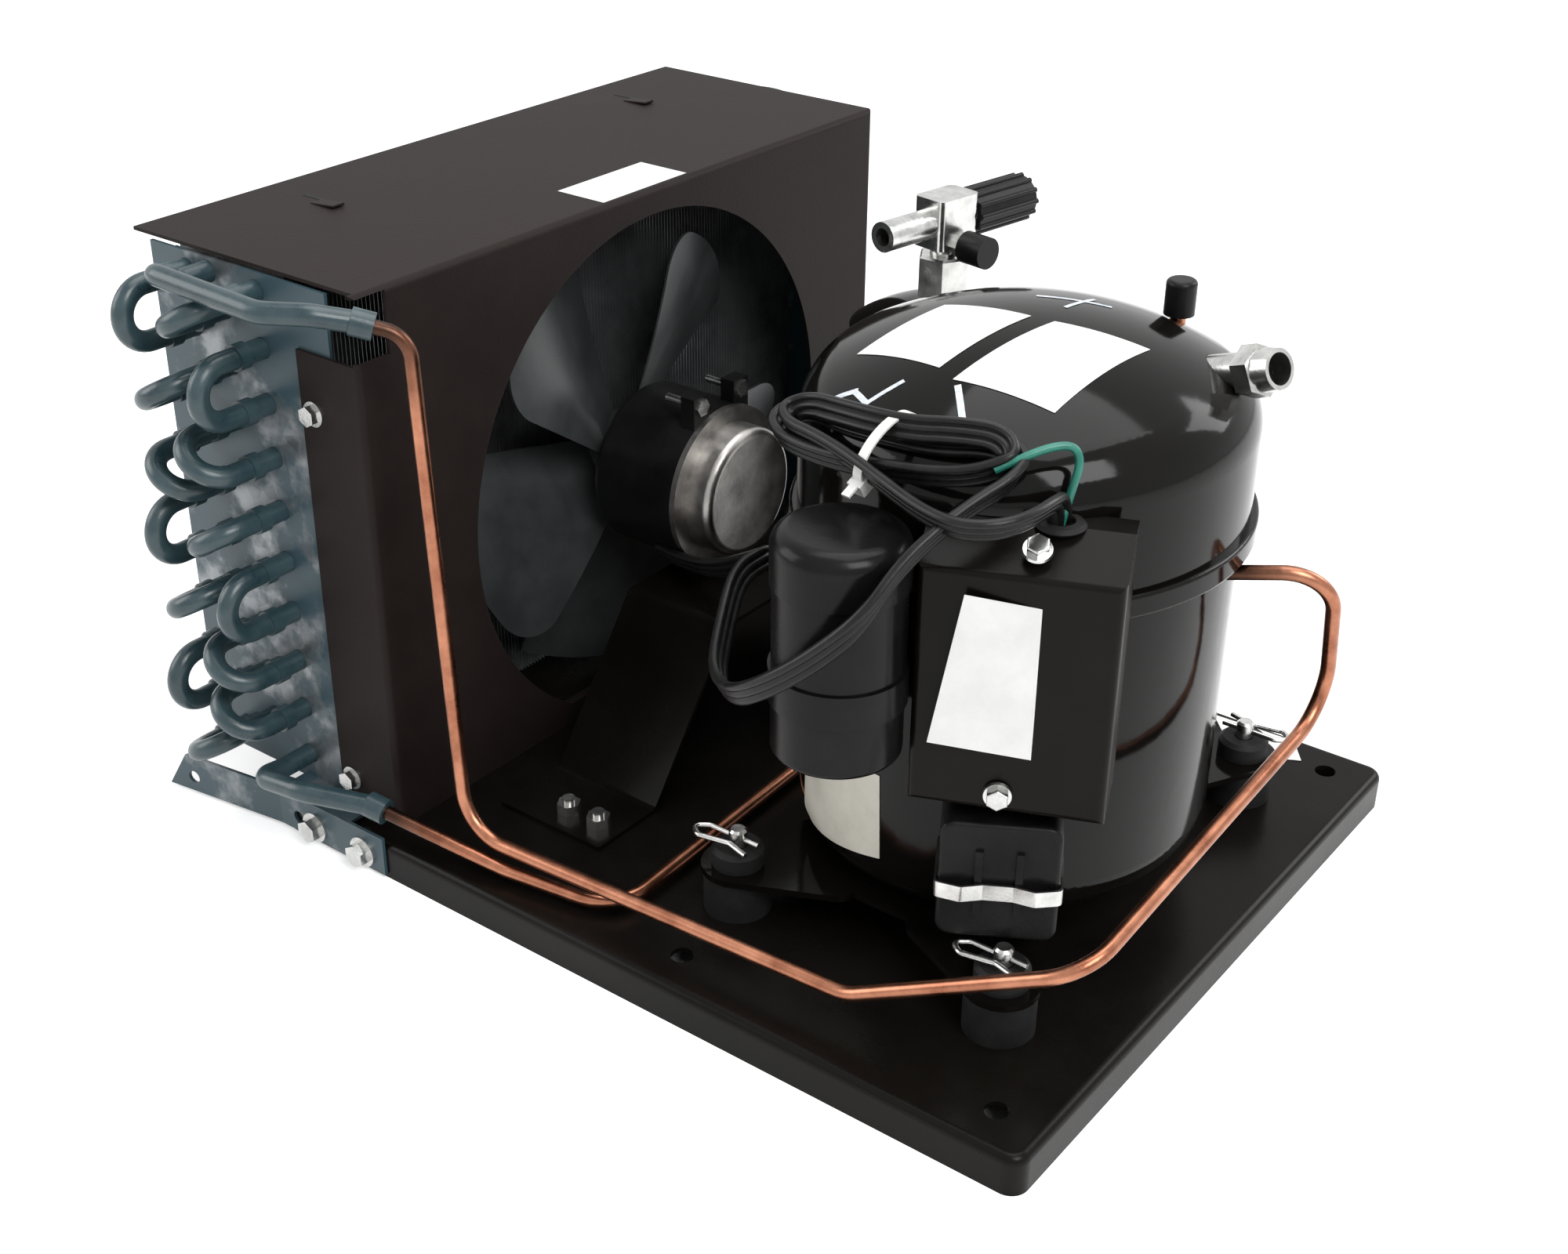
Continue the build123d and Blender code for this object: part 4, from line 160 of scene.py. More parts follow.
for lamp_name, lamp_place, lamp_size, lamp_power in (
    ("key_lamp", (1.5, -0.7, 1.7), 1.1, 34.0),
    ("top_lamp", (0.0, 0.3, 2.2), 1.6, 26.0),
    ("left_lamp", (-1.6, -1.1, 1.0), 1.2, 15.0),
    ("back_lamp", (0.9, 1.8, 1.3), 1.0, 16.0),
):
    lamp_data = bpy.data.lights.new(lamp_name, "AREA")
    lamp_data.shape, lamp_data.size, lamp_data.energy = "SQUARE", lamp_size, lamp_power
    lamp = bpy.data.objects.new(lamp_name, lamp_data)
    lamp.location = lamp_place
    aim = Vector((0, 0, 0.12)) - Vector(lamp_place)
    lamp.rotation_euler = aim.to_track_quat("-Z", "Y").to_euler()
    scene.collection.objects.link(lamp)


# Base pan, motor stand and wiring box: pressed steel sheet in semi-gloss black stove enamel,
# slightly orange-peeled.
def coating(name, dark, light, roughness, patch_scale, peel_scale, peel, metallic=0.0, spread=0.12,
            gloss=0.5):
    """A coated or bare surface: colour patches, uneven roughness and a fine grain."""
    made = bpy.data.materials.new(name)
    made.use_nodes = True
    tree = made.node_tree
    shader = tree.nodes["Principled BSDF"]
    shader.inputs["Metallic"].default_value = metallic
    shader.inputs["Specular IOR Level"].default_value = gloss
    place = tree.nodes.new("ShaderNodeTexCoord")
    patches = tree.nodes.new("ShaderNodeTexNoise")
    patches.inputs["Scale"].default_value = patch_scale
    patches.inputs["Detail"].default_value = 6.0
    patches.inputs["Roughness"].default_value = 0.65
    colours = tree.nodes.new("ShaderNodeValToRGB")
    colours.color_ramp.elements[0].position, colours.color_ramp.elements[1].position = 0.35, 0.68
    colours.color_ramp.elements[0].color = (*dark, 1)
    colours.color_ramp.elements[1].color = (*light, 1)
    sheen = tree.nodes.new("ShaderNodeMapRange")
    sheen.inputs["To Min"].default_value = roughness - spread
    sheen.inputs["To Max"].default_value = roughness + spread
    grain = tree.nodes.new("ShaderNodeTexNoise")
    grain.inputs["Scale"].default_value = peel_scale
    grain.inputs["Detail"].default_value = 3.0
    bump = tree.nodes.new("ShaderNodeBump")
    bump.inputs["Strength"].default_value = peel
    bump.inputs["Distance"].default_value = 0.0004
    tree.links.new(place.outputs["Object"], patches.inputs["Vector"])
    tree.links.new(place.outputs["Object"], grain.inputs["Vector"])
    tree.links.new(patches.outputs["Fac"], colours.inputs["Fac"])
    tree.links.new(colours.outputs["Color"], shader.inputs["Base Color"])
    tree.links.new(patches.outputs["Fac"], sheen.inputs["Value"])
    tree.links.new(sheen.outputs["Result"], shader.inputs["Roughness"])
    tree.links.new(grain.outputs["Fac"], bump.inputs["Height"])
    tree.links.new(bump.outputs["Normal"], shader.inputs["Normal"])
    return made


def dress(material, *names):
    """Gives CAD nodes a material in every slot."""
    for name in names:
        slots = nodes[name].data.materials
        slots.clear()
        slots.append(material)


pan_enamel = coating("pan_enamel", (0.0035, 0.0028, 0.0023), (0.0075, 0.0062, 0.0052),
                     roughness=0.27, patch_scale=9, peel_scale=420, peel=0.10, gloss=0.10)
dress(pan_enamel, "base_pan", "motor_stand", "electrical_box")

# Coil end plates, tube bends and headers: galvanised steel and steel tube under a thin
# blue-grey spray coat that leaves bright metal where the gun didn't reach.
sprayed_tube = coating("sprayed_tube", (0.016, 0.038, 0.046), (0.040, 0.072, 0.083), roughness=0.30,
                       patch_scale=60, peel_scale=700, peel=0.12)
dress(sprayed_tube, "coil_hairpins", "coil_return_bends", "coil_inlet_tube", "coil_outlet_tube")

sprayed_plate = bpy.data.materials.new("sprayed_plate")
sprayed_plate.use_nodes = True
tree = sprayed_plate.node_tree
shader = tree.nodes["Principled BSDF"]
place = tree.nodes.new("ShaderNodeTexCoord")
clouds = tree.nodes.new("ShaderNodeTexNoise")
clouds.inputs["Scale"].default_value = 26.0
clouds.inputs["Detail"].default_value = 5.0
clouds.inputs["Roughness"].default_value = 0.6
cover = tree.nodes.new("ShaderNodeValToRGB")
cover.color_ramp.elements[0].position, cover.color_ramp.elements[1].position = 0.53, 0.63
spangle = tree.nodes.new("ShaderNodeTexVoronoi")
spangle.inputs["Scale"].default_value = 150.0
zinc_tone = tree.nodes.new("ShaderNodeValToRGB")
zinc_tone.color_ramp.elements[0].color = (0.17, 0.185, 0.195, 1)
zinc_tone.color_ramp.elements[1].color = (0.30, 0.315, 0.325, 1)
teal_tone = tree.nodes.new("ShaderNodeValToRGB")
teal_tone.color_ramp.elements[0].color = (0.022, 0.050, 0.063, 1)
teal_tone.color_ramp.elements[1].color = (0.050, 0.092, 0.112, 1)
coat_mix = tree.nodes.new("ShaderNodeMix")
coat_mix.data_type = "RGBA"
metal_share = tree.nodes.new("ShaderNodeMapRange")
metal_share.inputs["To Min"].default_value = 0.0
metal_share.inputs["To Max"].default_value = 0.85
dull = tree.nodes.new("ShaderNodeMapRange")
dull.inputs["To Min"].default_value = 0.42
dull.inputs["To Max"].default_value = 0.34
ripple = tree.nodes.new("ShaderNodeTexNoise")
ripple.inputs["Scale"].default_value = 300.0
ripple_bump = tree.nodes.new("ShaderNodeBump")
ripple_bump.inputs["Strength"].default_value = 0.12
ripple_bump.inputs["Distance"].default_value = 0.0004
for start, end in (
    (place.outputs["Object"], clouds.inputs["Vector"]),
    (place.outputs["Object"], spangle.inputs["Vector"]),
    (place.outputs["Object"], ripple.inputs["Vector"]),
    (clouds.outputs["Fac"], cover.inputs["Fac"]),
    (spangle.outputs["Color"], zinc_tone.inputs["Fac"]),
    (clouds.outputs["Fac"], teal_tone.inputs["Fac"]),
    (cover.outputs["Color"], coat_mix.inputs["Factor"]),
    (teal_tone.outputs["Color"], coat_mix.inputs["A"]),
    (zinc_tone.outputs["Color"], coat_mix.inputs["B"]),
    (coat_mix.outputs["Result"], shader.inputs["Base Color"]),
    (cover.outputs["Color"], metal_share.inputs["Value"]),
    (metal_share.outputs["Result"], shader.inputs["Metallic"]),
    (cover.outputs["Color"], dull.inputs["Value"]),
    (dull.outputs["Result"], shader.inputs["Roughness"]),
    (ripple.outputs["Fac"], ripple_bump.inputs["Height"]),
    (ripple_bump.outputs["Normal"], shader.inputs["Normal"]),
):
    tree.links.new(start, end)
dress(sprayed_plate, "end_plate_near", "end_plate_far")

# Coil fins: thin flat aluminium sheets a couple of millimetres apart, drawn without their tube
# holes. The block that stands in for them in the frame isn't shown.
FIN_PITCH, FIN_SHEET = 0.0023, 0.00025
fins_low, fins_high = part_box("coil_fins")
fin_metal = coating("fin_metal", (0.30, 0.31, 0.32), (0.48, 0.49, 0.50), roughness=0.42,
                    metallic=0.9, patch_scale=30, peel_scale=500, peel=0.10)


def chassis_piece(bm, name, material):
    """Makes a finished bmesh a named piece that rides on the chassis."""
    mesh = bpy.data.meshes.new(name)
    bm.to_mesh(mesh)
    bm.free()
    mesh.materials.append(material)
    piece = bpy.data.objects.new(name, mesh)
    scene.collection.objects.link(piece)
    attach(piece, "chassis")
    return piece


bm = bmesh.new()
fin_y = fins_low.y + FIN_SHEET
while fin_y < fins_high.y - FIN_SHEET:
    made = bmesh.ops.create_cube(bm, size=1.0)["verts"]
    bmesh.ops.scale(bm, verts=made, vec=(fins_high.x - fins_low.x, FIN_SHEET,
                                         fins_high.z - fins_low.z))
    bmesh.ops.translate(bm, verts=made, vec=((fins_low.x + fins_high.x) / 2, fin_y,
                                             (fins_low.z + fins_high.z) / 2))
    fin_y += FIN_PITCH
fins = chassis_piece(bm, "fins", fin_metal)
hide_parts("coil_fins")

# Fan shroud: folded sheet with a dry, slightly textured dark brown coating.
shroud_coat = coating("shroud_coat", (0.0105, 0.0072, 0.0064), (0.0165, 0.0120, 0.0108),
                      roughness=0.55, patch_scale=14, peel_scale=900, peel=0.25, spread=0.08,
                      gloss=0.11)
dress(shroud_coat, "fan_shroud")

# Fan: pressed blades in a grey satin coat on a turned steel hub.
blade_coat = coating("blade_coat", (0.030, 0.034, 0.035), (0.060, 0.066, 0.067), roughness=0.34,
                     metallic=0.3, patch_scale=22, peel_scale=260, peel=0.10)
dress(blade_coat, "fan_blades")
bare_steel = coating("bare_steel", (0.30, 0.29, 0.28), (0.48, 0.47, 0.46), roughness=0.30,
                     metallic=1.0, patch_scale=60, peel_scale=600, peel=0.10)
dress(bare_steel, "fan_hub", "fan_shaft", "motor_rotor", "pump_rotor", "pump_springs")

# Fan motor: shaded-pole motor in a black drawn can, with a bare aluminium end cap whose
# plate carries nothing.
motor_coat = coating("motor_coat", (0.004, 0.004, 0.004), (0.009, 0.009, 0.009), roughness=0.34,
                     patch_scale=30, peel_scale=500, peel=0.12, gloss=0.12)
dress(motor_coat, "motor_housing", "motor_stator", "pump_body")
cap_metal = coating("cap_metal", (0.26, 0.25, 0.24), (0.48, 0.46, 0.44), roughness=0.34,
                    metallic=1.0, patch_scale=55, peel_scale=500, peel=0.18)
dress(cap_metal, "motor_cap")

# Screws, nuts, studs, clips, the bail, the service valve and the suction fitting: zinc-plated
# steel, bright and slightly mottled.
zinc_plate = coating("zinc_plate", (0.46, 0.46, 0.45), (0.70, 0.70, 0.68), roughness=0.24,
                     metallic=1.0, patch_scale=120, peel_scale=800, peel=0.12)
dress(zinc_plate, "shroud_screws", "rim_bolts", "stand_nuts", "motor_studs", "mount_clips",
      "terminal_bail", "mount_studs", "valve_body", "valve_nut", "valve_stem", "suction_fitting",
      "gauge_collar")

# Compressor shell, its feet and the receiver: drawn steel in thick gloss black enamel.
shell_enamel = coating("shell_enamel", (0.003, 0.0026, 0.0023), (0.005, 0.0043, 0.0038),
                       roughness=0.10, patch_scale=7, peel_scale=140, peel=0.05, spread=0.04,
                       gloss=0.17)
dress(shell_enamel, "compressor_upper_shell", "compressor_lower_shell", "compressor_feet",
      "receiver_tank")

# Mount grommets, caps, terminal cover and start capacitor: moulded black rubber and plastic.
soft_rubber = coating("soft_rubber", (0.006, 0.006, 0.006), (0.013, 0.013, 0.013), roughness=0.62,
                      patch_scale=90, peel_scale=900, peel=0.25, gloss=0.2)
dress(soft_rubber, "rubber_mounts")
moulded_black = coating("moulded_black", (0.005, 0.005, 0.005), (0.010, 0.010, 0.010),
                        roughness=0.36, patch_scale=60, peel_scale=900, peel=0.20, gloss=0.15)
dress(moulded_black, "terminal_cover", "stem_cap", "gauge_cap", "process_cap")
can_black = coating("can_black", (0.004, 0.004, 0.004), (0.008, 0.008, 0.008), roughness=0.24,
                    patch_scale=40, peel_scale=500, peel=0.10, gloss=0.14)
dress(can_black, "start_capacitor", "capacitor_cap", "capacitor_band")

# Copper lines: drawn tube, bright on the straights and browned by the torch near the joints.
copper_tube = coating("copper_tube", (0.26, 0.098, 0.056), (0.50, 0.222, 0.135), roughness=0.30,
                      metallic=1.0, patch_scale=45, peel_scale=700, peel=0.10)
tree = copper_tube.node_tree
shader = tree.nodes["Principled BSDF"]
clean_colour = shader.inputs["Base Color"].links[0].from_socket
place = tree.nodes.new("ShaderNodeTexCoord")
nearest = None
for joint in ((-0.0955, -0.1810, 0.2680), (-0.1045, -0.1900, 0.0390), (0.2060, -0.0160, 0.1800)):
    reach = tree.nodes.new("ShaderNodeVectorMath")
    reach.operation = "DISTANCE"
    reach.inputs[1].default_value = joint
    tree.links.new(place.outputs["Object"], reach.inputs[0])
    if nearest is None:
        nearest = reach.outputs["Value"]
        continue
    nearer = tree.nodes.new("ShaderNodeMath")
    nearer.operation = "MINIMUM"
    tree.links.new(nearest, nearer.inputs[0])
    tree.links.new(reach.outputs["Value"], nearer.inputs[1])
    nearest = nearer.outputs[0]
scorch = tree.nodes.new("ShaderNodeMapRange")
scorch.inputs["From Min"].default_value = 0.014
scorch.inputs["From Max"].default_value = 0.046
scorch.inputs["To Min"].default_value = 0.92
scorch.inputs["To Max"].default_value = 0.0
tree.links.new(nearest, scorch.inputs["Value"])
torched = tree.nodes.new("ShaderNodeMix")
torched.data_type = "RGBA"
torched.inputs["B"].default_value = (0.030, 0.019, 0.015, 1)
tree.links.new(scorch.outputs["Result"], torched.inputs["Factor"])
tree.links.new(clean_colour, torched.inputs["A"])
tree.links.new(torched.outputs["Result"], shader.inputs["Base Color"])
dress(copper_tube, "discharge_tube", "liquid_tube", "process_tube")

# Paper labels on the dome, the lower shell, the shroud and the pan: adhesive stock, bare. Each
# is a small sheet pressed on to the surface that carries it.
paper_white = coating("paper_white", (0.74, 0.74, 0.73), (0.84, 0.84, 0.83), roughness=0.45,
                      patch_scale=40, peel_scale=900, peel=0.08)
DOWN = (0, 0, -1)
# How far back from a sheet's drawn corners its way to the steel starts.
PRESS_RUN_UP = 0.05


def pressed_sheet(name, corners, cells, direction, target, lift, material, thickness):
    """A thin sheet between four corners, pressed along a direction on to a CAD node."""
    shell = nodes[target].data
    tree = BVHTree.FromPolygons([vert.co for vert in shell.vertices],
                                [face.vertices for face in shell.polygons])
    a, b, c, d = (Vector(corner) for corner in corners)
    bm = bmesh.new()
    bmesh.ops.create_grid(bm, x_segments=cells, y_segments=cells, size=0.5)
    toward = Vector(direction).normalized()
    for vert in bm.verts:
        u, v = vert.co.x + 0.5, vert.co.y + 0.5
        place = (a * (1 - u) + b * u) * (1 - v) + (d * (1 - u) + c * u) * v
        hit = tree.ray_cast(place - toward * PRESS_RUN_UP, toward)[0]
        if hit is not None:
            place = hit - toward * lift
        vert.co = place
    bmesh.ops.recalc_face_normals(bm, faces=bm.faces)
    if sum(face.normal.dot(toward) for face in bm.faces) > 0:
        bmesh.ops.reverse_faces(bm, faces=bm.faces)
    bmesh.ops.solidify(bm, geom=bm.faces[:], thickness=thickness)
    chassis_piece(bm, name, material)


pressed_sheet("dome_label_small", ((0.0669, -0.067, 0.3), (0.1090, -0.0725, 0.3),
                                   (0.1200, -0.0244, 0.3), (0.0800, -0.0245, 0.3)), cells=24,
              direction=DOWN, target="compressor_upper_shell", lift=0.0004,
              material=paper_white, thickness=0.0002)
pressed_sheet("dome_label_large", ((0.1179, -0.0767, 0.3), (0.1602, -0.0725, 0.3),
                                   (0.1663, -0.0113, 0.3), (0.1300, -0.0231, 0.3)), cells=24,
              direction=DOWN, target="compressor_upper_shell", lift=0.0004,
              material=paper_white, thickness=0.0002)
pressed_sheet("shroud_label", ((-0.1365, -0.018, 0.3), (-0.1085, -0.018, 0.3),
                               (-0.1085, 0.041, 0.3), (-0.1365, 0.041, 0.3)), cells=6,
              direction=DOWN, target="fan_shroud", lift=0.0002, material=paper_white,
              thickness=0.0001)
tag_paper = coating("tag_paper", (0.62, 0.60, 0.52), (0.76, 0.74, 0.66), roughness=0.5,
                    patch_scale=40, peel_scale=900, peel=0.1)
pressed_sheet("shell_tag", ((0.0640, -0.13, 0.052), (0.1176, -0.13, 0.064), (0.1161, -0.13, 0.104),
                            (0.0640, -0.13, 0.104)), cells=24, direction=(0, 1, 0),
              target="compressor_lower_shell", lift=0.0004, material=tag_paper, thickness=0.0002)
pressed_sheet("pan_tag", ((0.1450, 0.146, 0.05), (0.1880, 0.1475, 0.05), (0.1985, 0.133, 0.05),
                          (0.1700, 0.118, 0.05)), cells=8, direction=DOWN, target="base_pan",
              lift=0.0004, material=paper_white, thickness=0.0002)

# Inspector's marks: short straight strokes of white paint across the dome.
brushed_paint = coating("brushed_paint", (0.50, 0.56, 0.62), (0.82, 0.85, 0.88), roughness=0.4,
                        patch_scale=300, peel_scale=900, peel=0.3)
for mark, (start, end, half) in enumerate((
    ((0.0733, -0.0930), (0.0817, -0.0894), 0.0013), ((0.0817, -0.0894), (0.0911, -0.0948), 0.0011),
    ((0.0911, -0.0948), (0.0990, -0.0829), 0.0010), ((0.1176, -0.0971), (0.1319, -0.0975), 0.0014),
    ((0.1319, -0.0975), (0.1335, -0.0932), 0.0015), ((0.1335, -0.0932), (0.1222, -0.0796), 0.0013),
    ((0.1088, 0.0006), (0.1346, 0.0128), 0.0010), ((0.1250, -0.0054), (0.1255, 0.0161), 0.0009),
)):
    along = Vector((end[0] - start[0], end[1] - start[1], 0)).normalized()
    aside = Vector((-along.y, along.x, 0)) * half
    a, b = Vector((*start, 0.3)) - along * half, Vector((*end, 0.3)) + along * half
    pressed_sheet(f"paint_mark_{mark}", (a - aside, b - aside, b + aside, a + aside), cells=8,
                  direction=DOWN, target="compressor_upper_shell", lift=0.0003,
                  material=brushed_paint, thickness=0.00015)

# Shroud tabs: two small tongues lanced out of the top panel, each behind its slot, which is a flat
# black sheet of painted shade standing for the dark opening.
slot_painted_shade = coating("slot_painted_shade", (0.001, 0.001, 0.001), (0.003, 0.003, 0.003), roughness=0.9,
                     patch_scale=40, peel_scale=300, peel=0.1)
shroud_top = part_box("fan_shroud")[1].z
TAB_LEAN = -5
for count, (tab_x, tab_y) in enumerate(((-0.2080, -0.0975), (-0.2135, 0.1240))):
    for part, half, height, shift, material in (
        ("tab", (0.0075, 0.0036), 0.0011, (0.0045, 0.0), shroud_coat),
        # The slot: a thin near-black sheet of painted shade on the panel where the opening is.
        ("slot", (0.0125, 0.0012), 0.0002, (-0.0020, 0.0036), slot_painted_shade),
    ):
        bm = bmesh.new()
        made = bmesh.ops.create_cube(bm, size=1.0)["verts"]
        bmesh.ops.scale(bm, verts=made, vec=(half[0] * 2, half[1] * 2, height))
        bmesh.ops.bevel(bm, geom=bm.edges[:], offset=height * 0.3, segments=2, affect="EDGES",
                        profile=0.5, material=-1)
        if part == "tab":
            bmesh.ops.rotate(bm, verts=bm.verts, cent=(0, 0, 0),
                             matrix=Matrix.Rotation(radians(TAB_LEAN), 3, "Y"))
        bmesh.ops.translate(bm, verts=bm.verts, vec=(tab_x + shift[0], tab_y + shift[1],
                                                     shroud_top + height * 0.45))
        chassis_piece(bm, f"shroud_{part}_{count}", material)

# Electrical box: a bare white label on its face, two zinc hex washer screws and the rubber
# grommet that the lead comes through.
box_out = Vector((cos(radians(-60)), sin(radians(-60)), 0))


def face_sheet(name, corners, out, material, thickness):
    """A flat sheet between four corners, standing proud along its outward direction."""
    bm = bmesh.new()
    face = bm.faces.new([bm.verts.new(Vector(c) + out * 0.0005) for c in corners])
    bm.normal_update()
    if face.normal.dot(out) < 0:
        bmesh.ops.reverse_faces(bm, faces=[face])
    raised = bmesh.ops.extrude_face_region(bm, geom=[face])
    bmesh.ops.translate(bm, verts=[g for g in raised["geom"] if isinstance(g, bmesh.types.BMVert)],
                        vec=out * thickness)
    bmesh.ops.recalc_face_normals(bm, faces=bm.faces)
    chassis_piece(bm, name, material)


face_sheet("box_label", ((0.1625, -0.1330, 0.2110), (0.2077, -0.1069, 0.2038),
                         (0.1972, -0.1130, 0.1414), (0.1531, -0.1384, 0.1474)), out=box_out,
           material=paper_white, thickness=0.0002)


# A hexagon's width over flats, divided by its corner radius.
HEX_CORNER = 1.732


def hex_screw(name, place, out, flats, head, washer, material):
    """A hex head with a chamfered crown on its own washer flange."""
    bm = bmesh.new()
    flange = bmesh.ops.create_cone(bm, cap_ends=True, segments=40, radius1=washer,
                                   radius2=washer * 0.94, depth=head * 0.24)["verts"]
    bmesh.ops.translate(bm, verts=flange, vec=(0, 0, head * 0.12))
    corner = flats / HEX_CORNER
    body = bmesh.ops.create_cone(bm, cap_ends=True, segments=6, radius1=corner, radius2=corner,
                                 depth=head * 0.8)["verts"]
    bmesh.ops.translate(bm, verts=body, vec=(0, 0, head * 0.6))
    top = [e for e in bm.edges if all(v in body and v.co.z > head * 0.9 for v in e.verts)]
    bmesh.ops.bevel(bm, geom=top, offset=head * 0.13, segments=3, affect="EDGES", profile=0.5,
                    material=-1)
    bmesh.ops.transform(bm, verts=bm.verts, matrix=Matrix.Translation(place)
                        @ Vector(out).to_track_quat("Z", "Y").to_matrix().to_4x4())
    chassis_piece(bm, name, material)


box_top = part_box("electrical_box")[1].z
hex_screw("box_screw_low", Vector((0.1772, -0.1245, 0.1259)) + box_out * 0.0004, out=box_out,
          flats=0.0080, head=0.0048, washer=0.0058, material=zinc_plate)
hex_screw("box_screw_top", Vector((0.1808, -0.1145, box_top - 0.0035)), out=(0.25, -0.43, 0.87),
          flats=0.0080, head=0.0048, washer=0.0058, material=zinc_plate)
bm = bmesh.new()
grommet_profile = ((0.0052, 0), (0.0085, 0), (0.0098, 0.0012), (0.0085, 0.0026), (0.0056, 0.0030),
                   (0.0052, 0.0022))
ring = [bm.verts.new((x, 0, z)) for x, z in grommet_profile]
loop = [bm.edges.new((ring[i], ring[(i + 1) % len(ring)])) for i in range(len(ring))]
bmesh.ops.spin(bm, geom=ring + loop, cent=(0, 0, 0), axis=(0, 0, 1), angle=2 * pi, steps=40,
               use_merge=True)
bmesh.ops.recalc_face_normals(bm, faces=bm.faces)
bmesh.ops.translate(bm, verts=bm.verts, vec=(0.1800, -0.0975, box_top - 0.0010))
chassis_piece(bm, "lead_grommet", soft_rubber)

# Motor lead: a flat three-core rubber lead from the fan motor to the wiring box. It goes in one
# long loop past the capacitor, and its spare length is folded in a hank on the dome.
lead_route = (
    (-0.0800, -0.0165, 0.1060), (-0.0600, -0.0210, 0.1070), (-0.0350, -0.0290, 0.1150),
    (-0.0050, -0.0430, 0.1340), (0.0250, -0.0650, 0.1560), (0.0400, -0.0920, 0.1700),
    (0.0430, -0.1130, 0.1720), (0.0560, -0.1380, 0.1640), (0.0720, -0.1640, 0.1590),
    (0.0920, -0.1800, 0.1640), (0.1100, -0.1840, 0.1760), (0.1300, -0.1800, 0.1930),
    (0.1440, -0.1730, 0.2090), (0.1490, -0.1570, 0.2260), (0.1550, -0.1410, 0.2370),
    (0.1600, -0.1260, 0.2430), (0.1670, -0.1130, 0.2490), (0.1660, -0.1030, 0.2540),
    (0.1520, -0.1010, 0.2560), (0.1320, -0.1080, 0.2530), (0.1100, -0.1090, 0.2520),
    (0.0880, -0.1060, 0.2500), (0.0720, -0.0990, 0.2480), (0.0600, -0.1010, 0.2450),
    (0.0580, -0.1090, 0.2410), (0.0680, -0.1170, 0.2400), (0.0880, -0.1220, 0.2410),
    (0.1100, -0.1230, 0.2430), (0.1340, -0.1200, 0.2450), (0.1520, -0.1150, 0.2480),
    (0.1640, -0.1070, 0.2540), (0.1560, -0.1020, 0.2600), (0.1400, -0.1070, 0.2600),
    (0.1240, -0.1120, 0.2580), (0.1080, -0.1130, 0.2570), (0.0880, -0.1100, 0.2550),
    (0.0720, -0.1050, 0.2520), (0.0640, -0.1090, 0.2480), (0.0700, -0.1160, 0.2460),
    (0.0880, -0.1210, 0.2470), (0.1080, -0.1270, 0.2460), (0.1280, -0.1330, 0.2430),
    (0.1460, -0.1390, 0.2410), (0.1630, -0.1430, 0.2410), (0.1760, -0.1370, 0.2420),
    (0.1820, -0.1240, 0.2430), (0.1820, -0.1100, 0.2430), (0.1800, -0.0990, 0.2400),
    (0.1795, -0.0975, 0.2300),
)
LEAD_WIDTH, LEAD_THICKNESS = 0.0105, 0.0042
lead_rubber = coating("lead_rubber", (0.006, 0.006, 0.006), (0.012, 0.012, 0.012), roughness=0.33,
                      patch_scale=120, peel_scale=900, peel=0.15, gloss=0.24)


def flat_lead(name, route, width, thickness, tilt):
    """A ribbed flat lead swept along its route, and the line down its middle."""
    rib = width / 3
    outline = bpy.data.curves.new(name + "_outline", "CURVE")
    outline.dimensions = "2D"
    edge = outline.splines.new("POLY")
    lobes = []
    for side in (1, -1):
        for core in ((-1, 0, 1) if side == 1 else (1, 0, -1)):
            for step in range(5):
                angle = pi * (step + 0.5) / 5
                lobes.append((core * rib - side * cos(angle) * rib * 0.5,
                              side * sin(angle) * thickness / 2))
    edge.points.add(len(lobes) - 1)
    for point, (x, y) in zip(edge.points, lobes):
        point.co = (y, x, 0, 1)
    edge.use_cyclic_u = True
    outline_object = bpy.data.objects.new(name + "_outline", outline)
    scene.collection.objects.link(outline_object)
    line = bpy.data.curves.new(name + "_line", "CURVE")
    line.dimensions = "3D"
    line.twist_mode = "Z_UP"
    spline = line.splines.new("NURBS")
    spline.points.add(len(route) - 1)
    for point, place in zip(spline.points, route):
        point.co = (*place, 1)
        point.tilt = tilt
    spline.order_u = 3
    spline.use_endpoint_u = True
    line.resolution_u = 10
    line_object = bpy.data.objects.new(name + "_line", line)
    scene.collection.objects.link(line_object)
    bare = bpy.data.meshes.new_from_object(line_object)
    middle = [tuple(v.co) for v in bare.vertices]
    line.bevel_mode = "OBJECT"
    line.bevel_object = outline_object
    line.use_fill_caps = True
    depsgraph = bpy.context.evaluated_depsgraph_get()
    mesh = bpy.data.meshes.new_from_object(line_object.evaluated_get(depsgraph))
    mesh.name = name
    bpy.data.objects.remove(line_object)
    bpy.data.objects.remove(outline_object)
    swept = bpy.data.objects.new(name, mesh)
    scene.collection.objects.link(swept)
    bm = bmesh.new()
    bm.from_mesh(mesh)
    bmesh.ops.remove_doubles(bm, verts=bm.verts, dist=0.00001)
    bmesh.ops.recalc_face_normals(bm, faces=bm.faces)
    for face in bm.faces:
        face.smooth = True
    bm.to_mesh(mesh)
    bm.free()
    return swept, middle


lead, lead_middle = flat_lead("motor_lead", lead_route, width=LEAD_WIDTH, thickness=LEAD_THICKNESS,
                              tilt=radians(30))
lead.data.materials.clear()
lead.data.materials.append(lead_rubber)
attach(lead, "chassis")

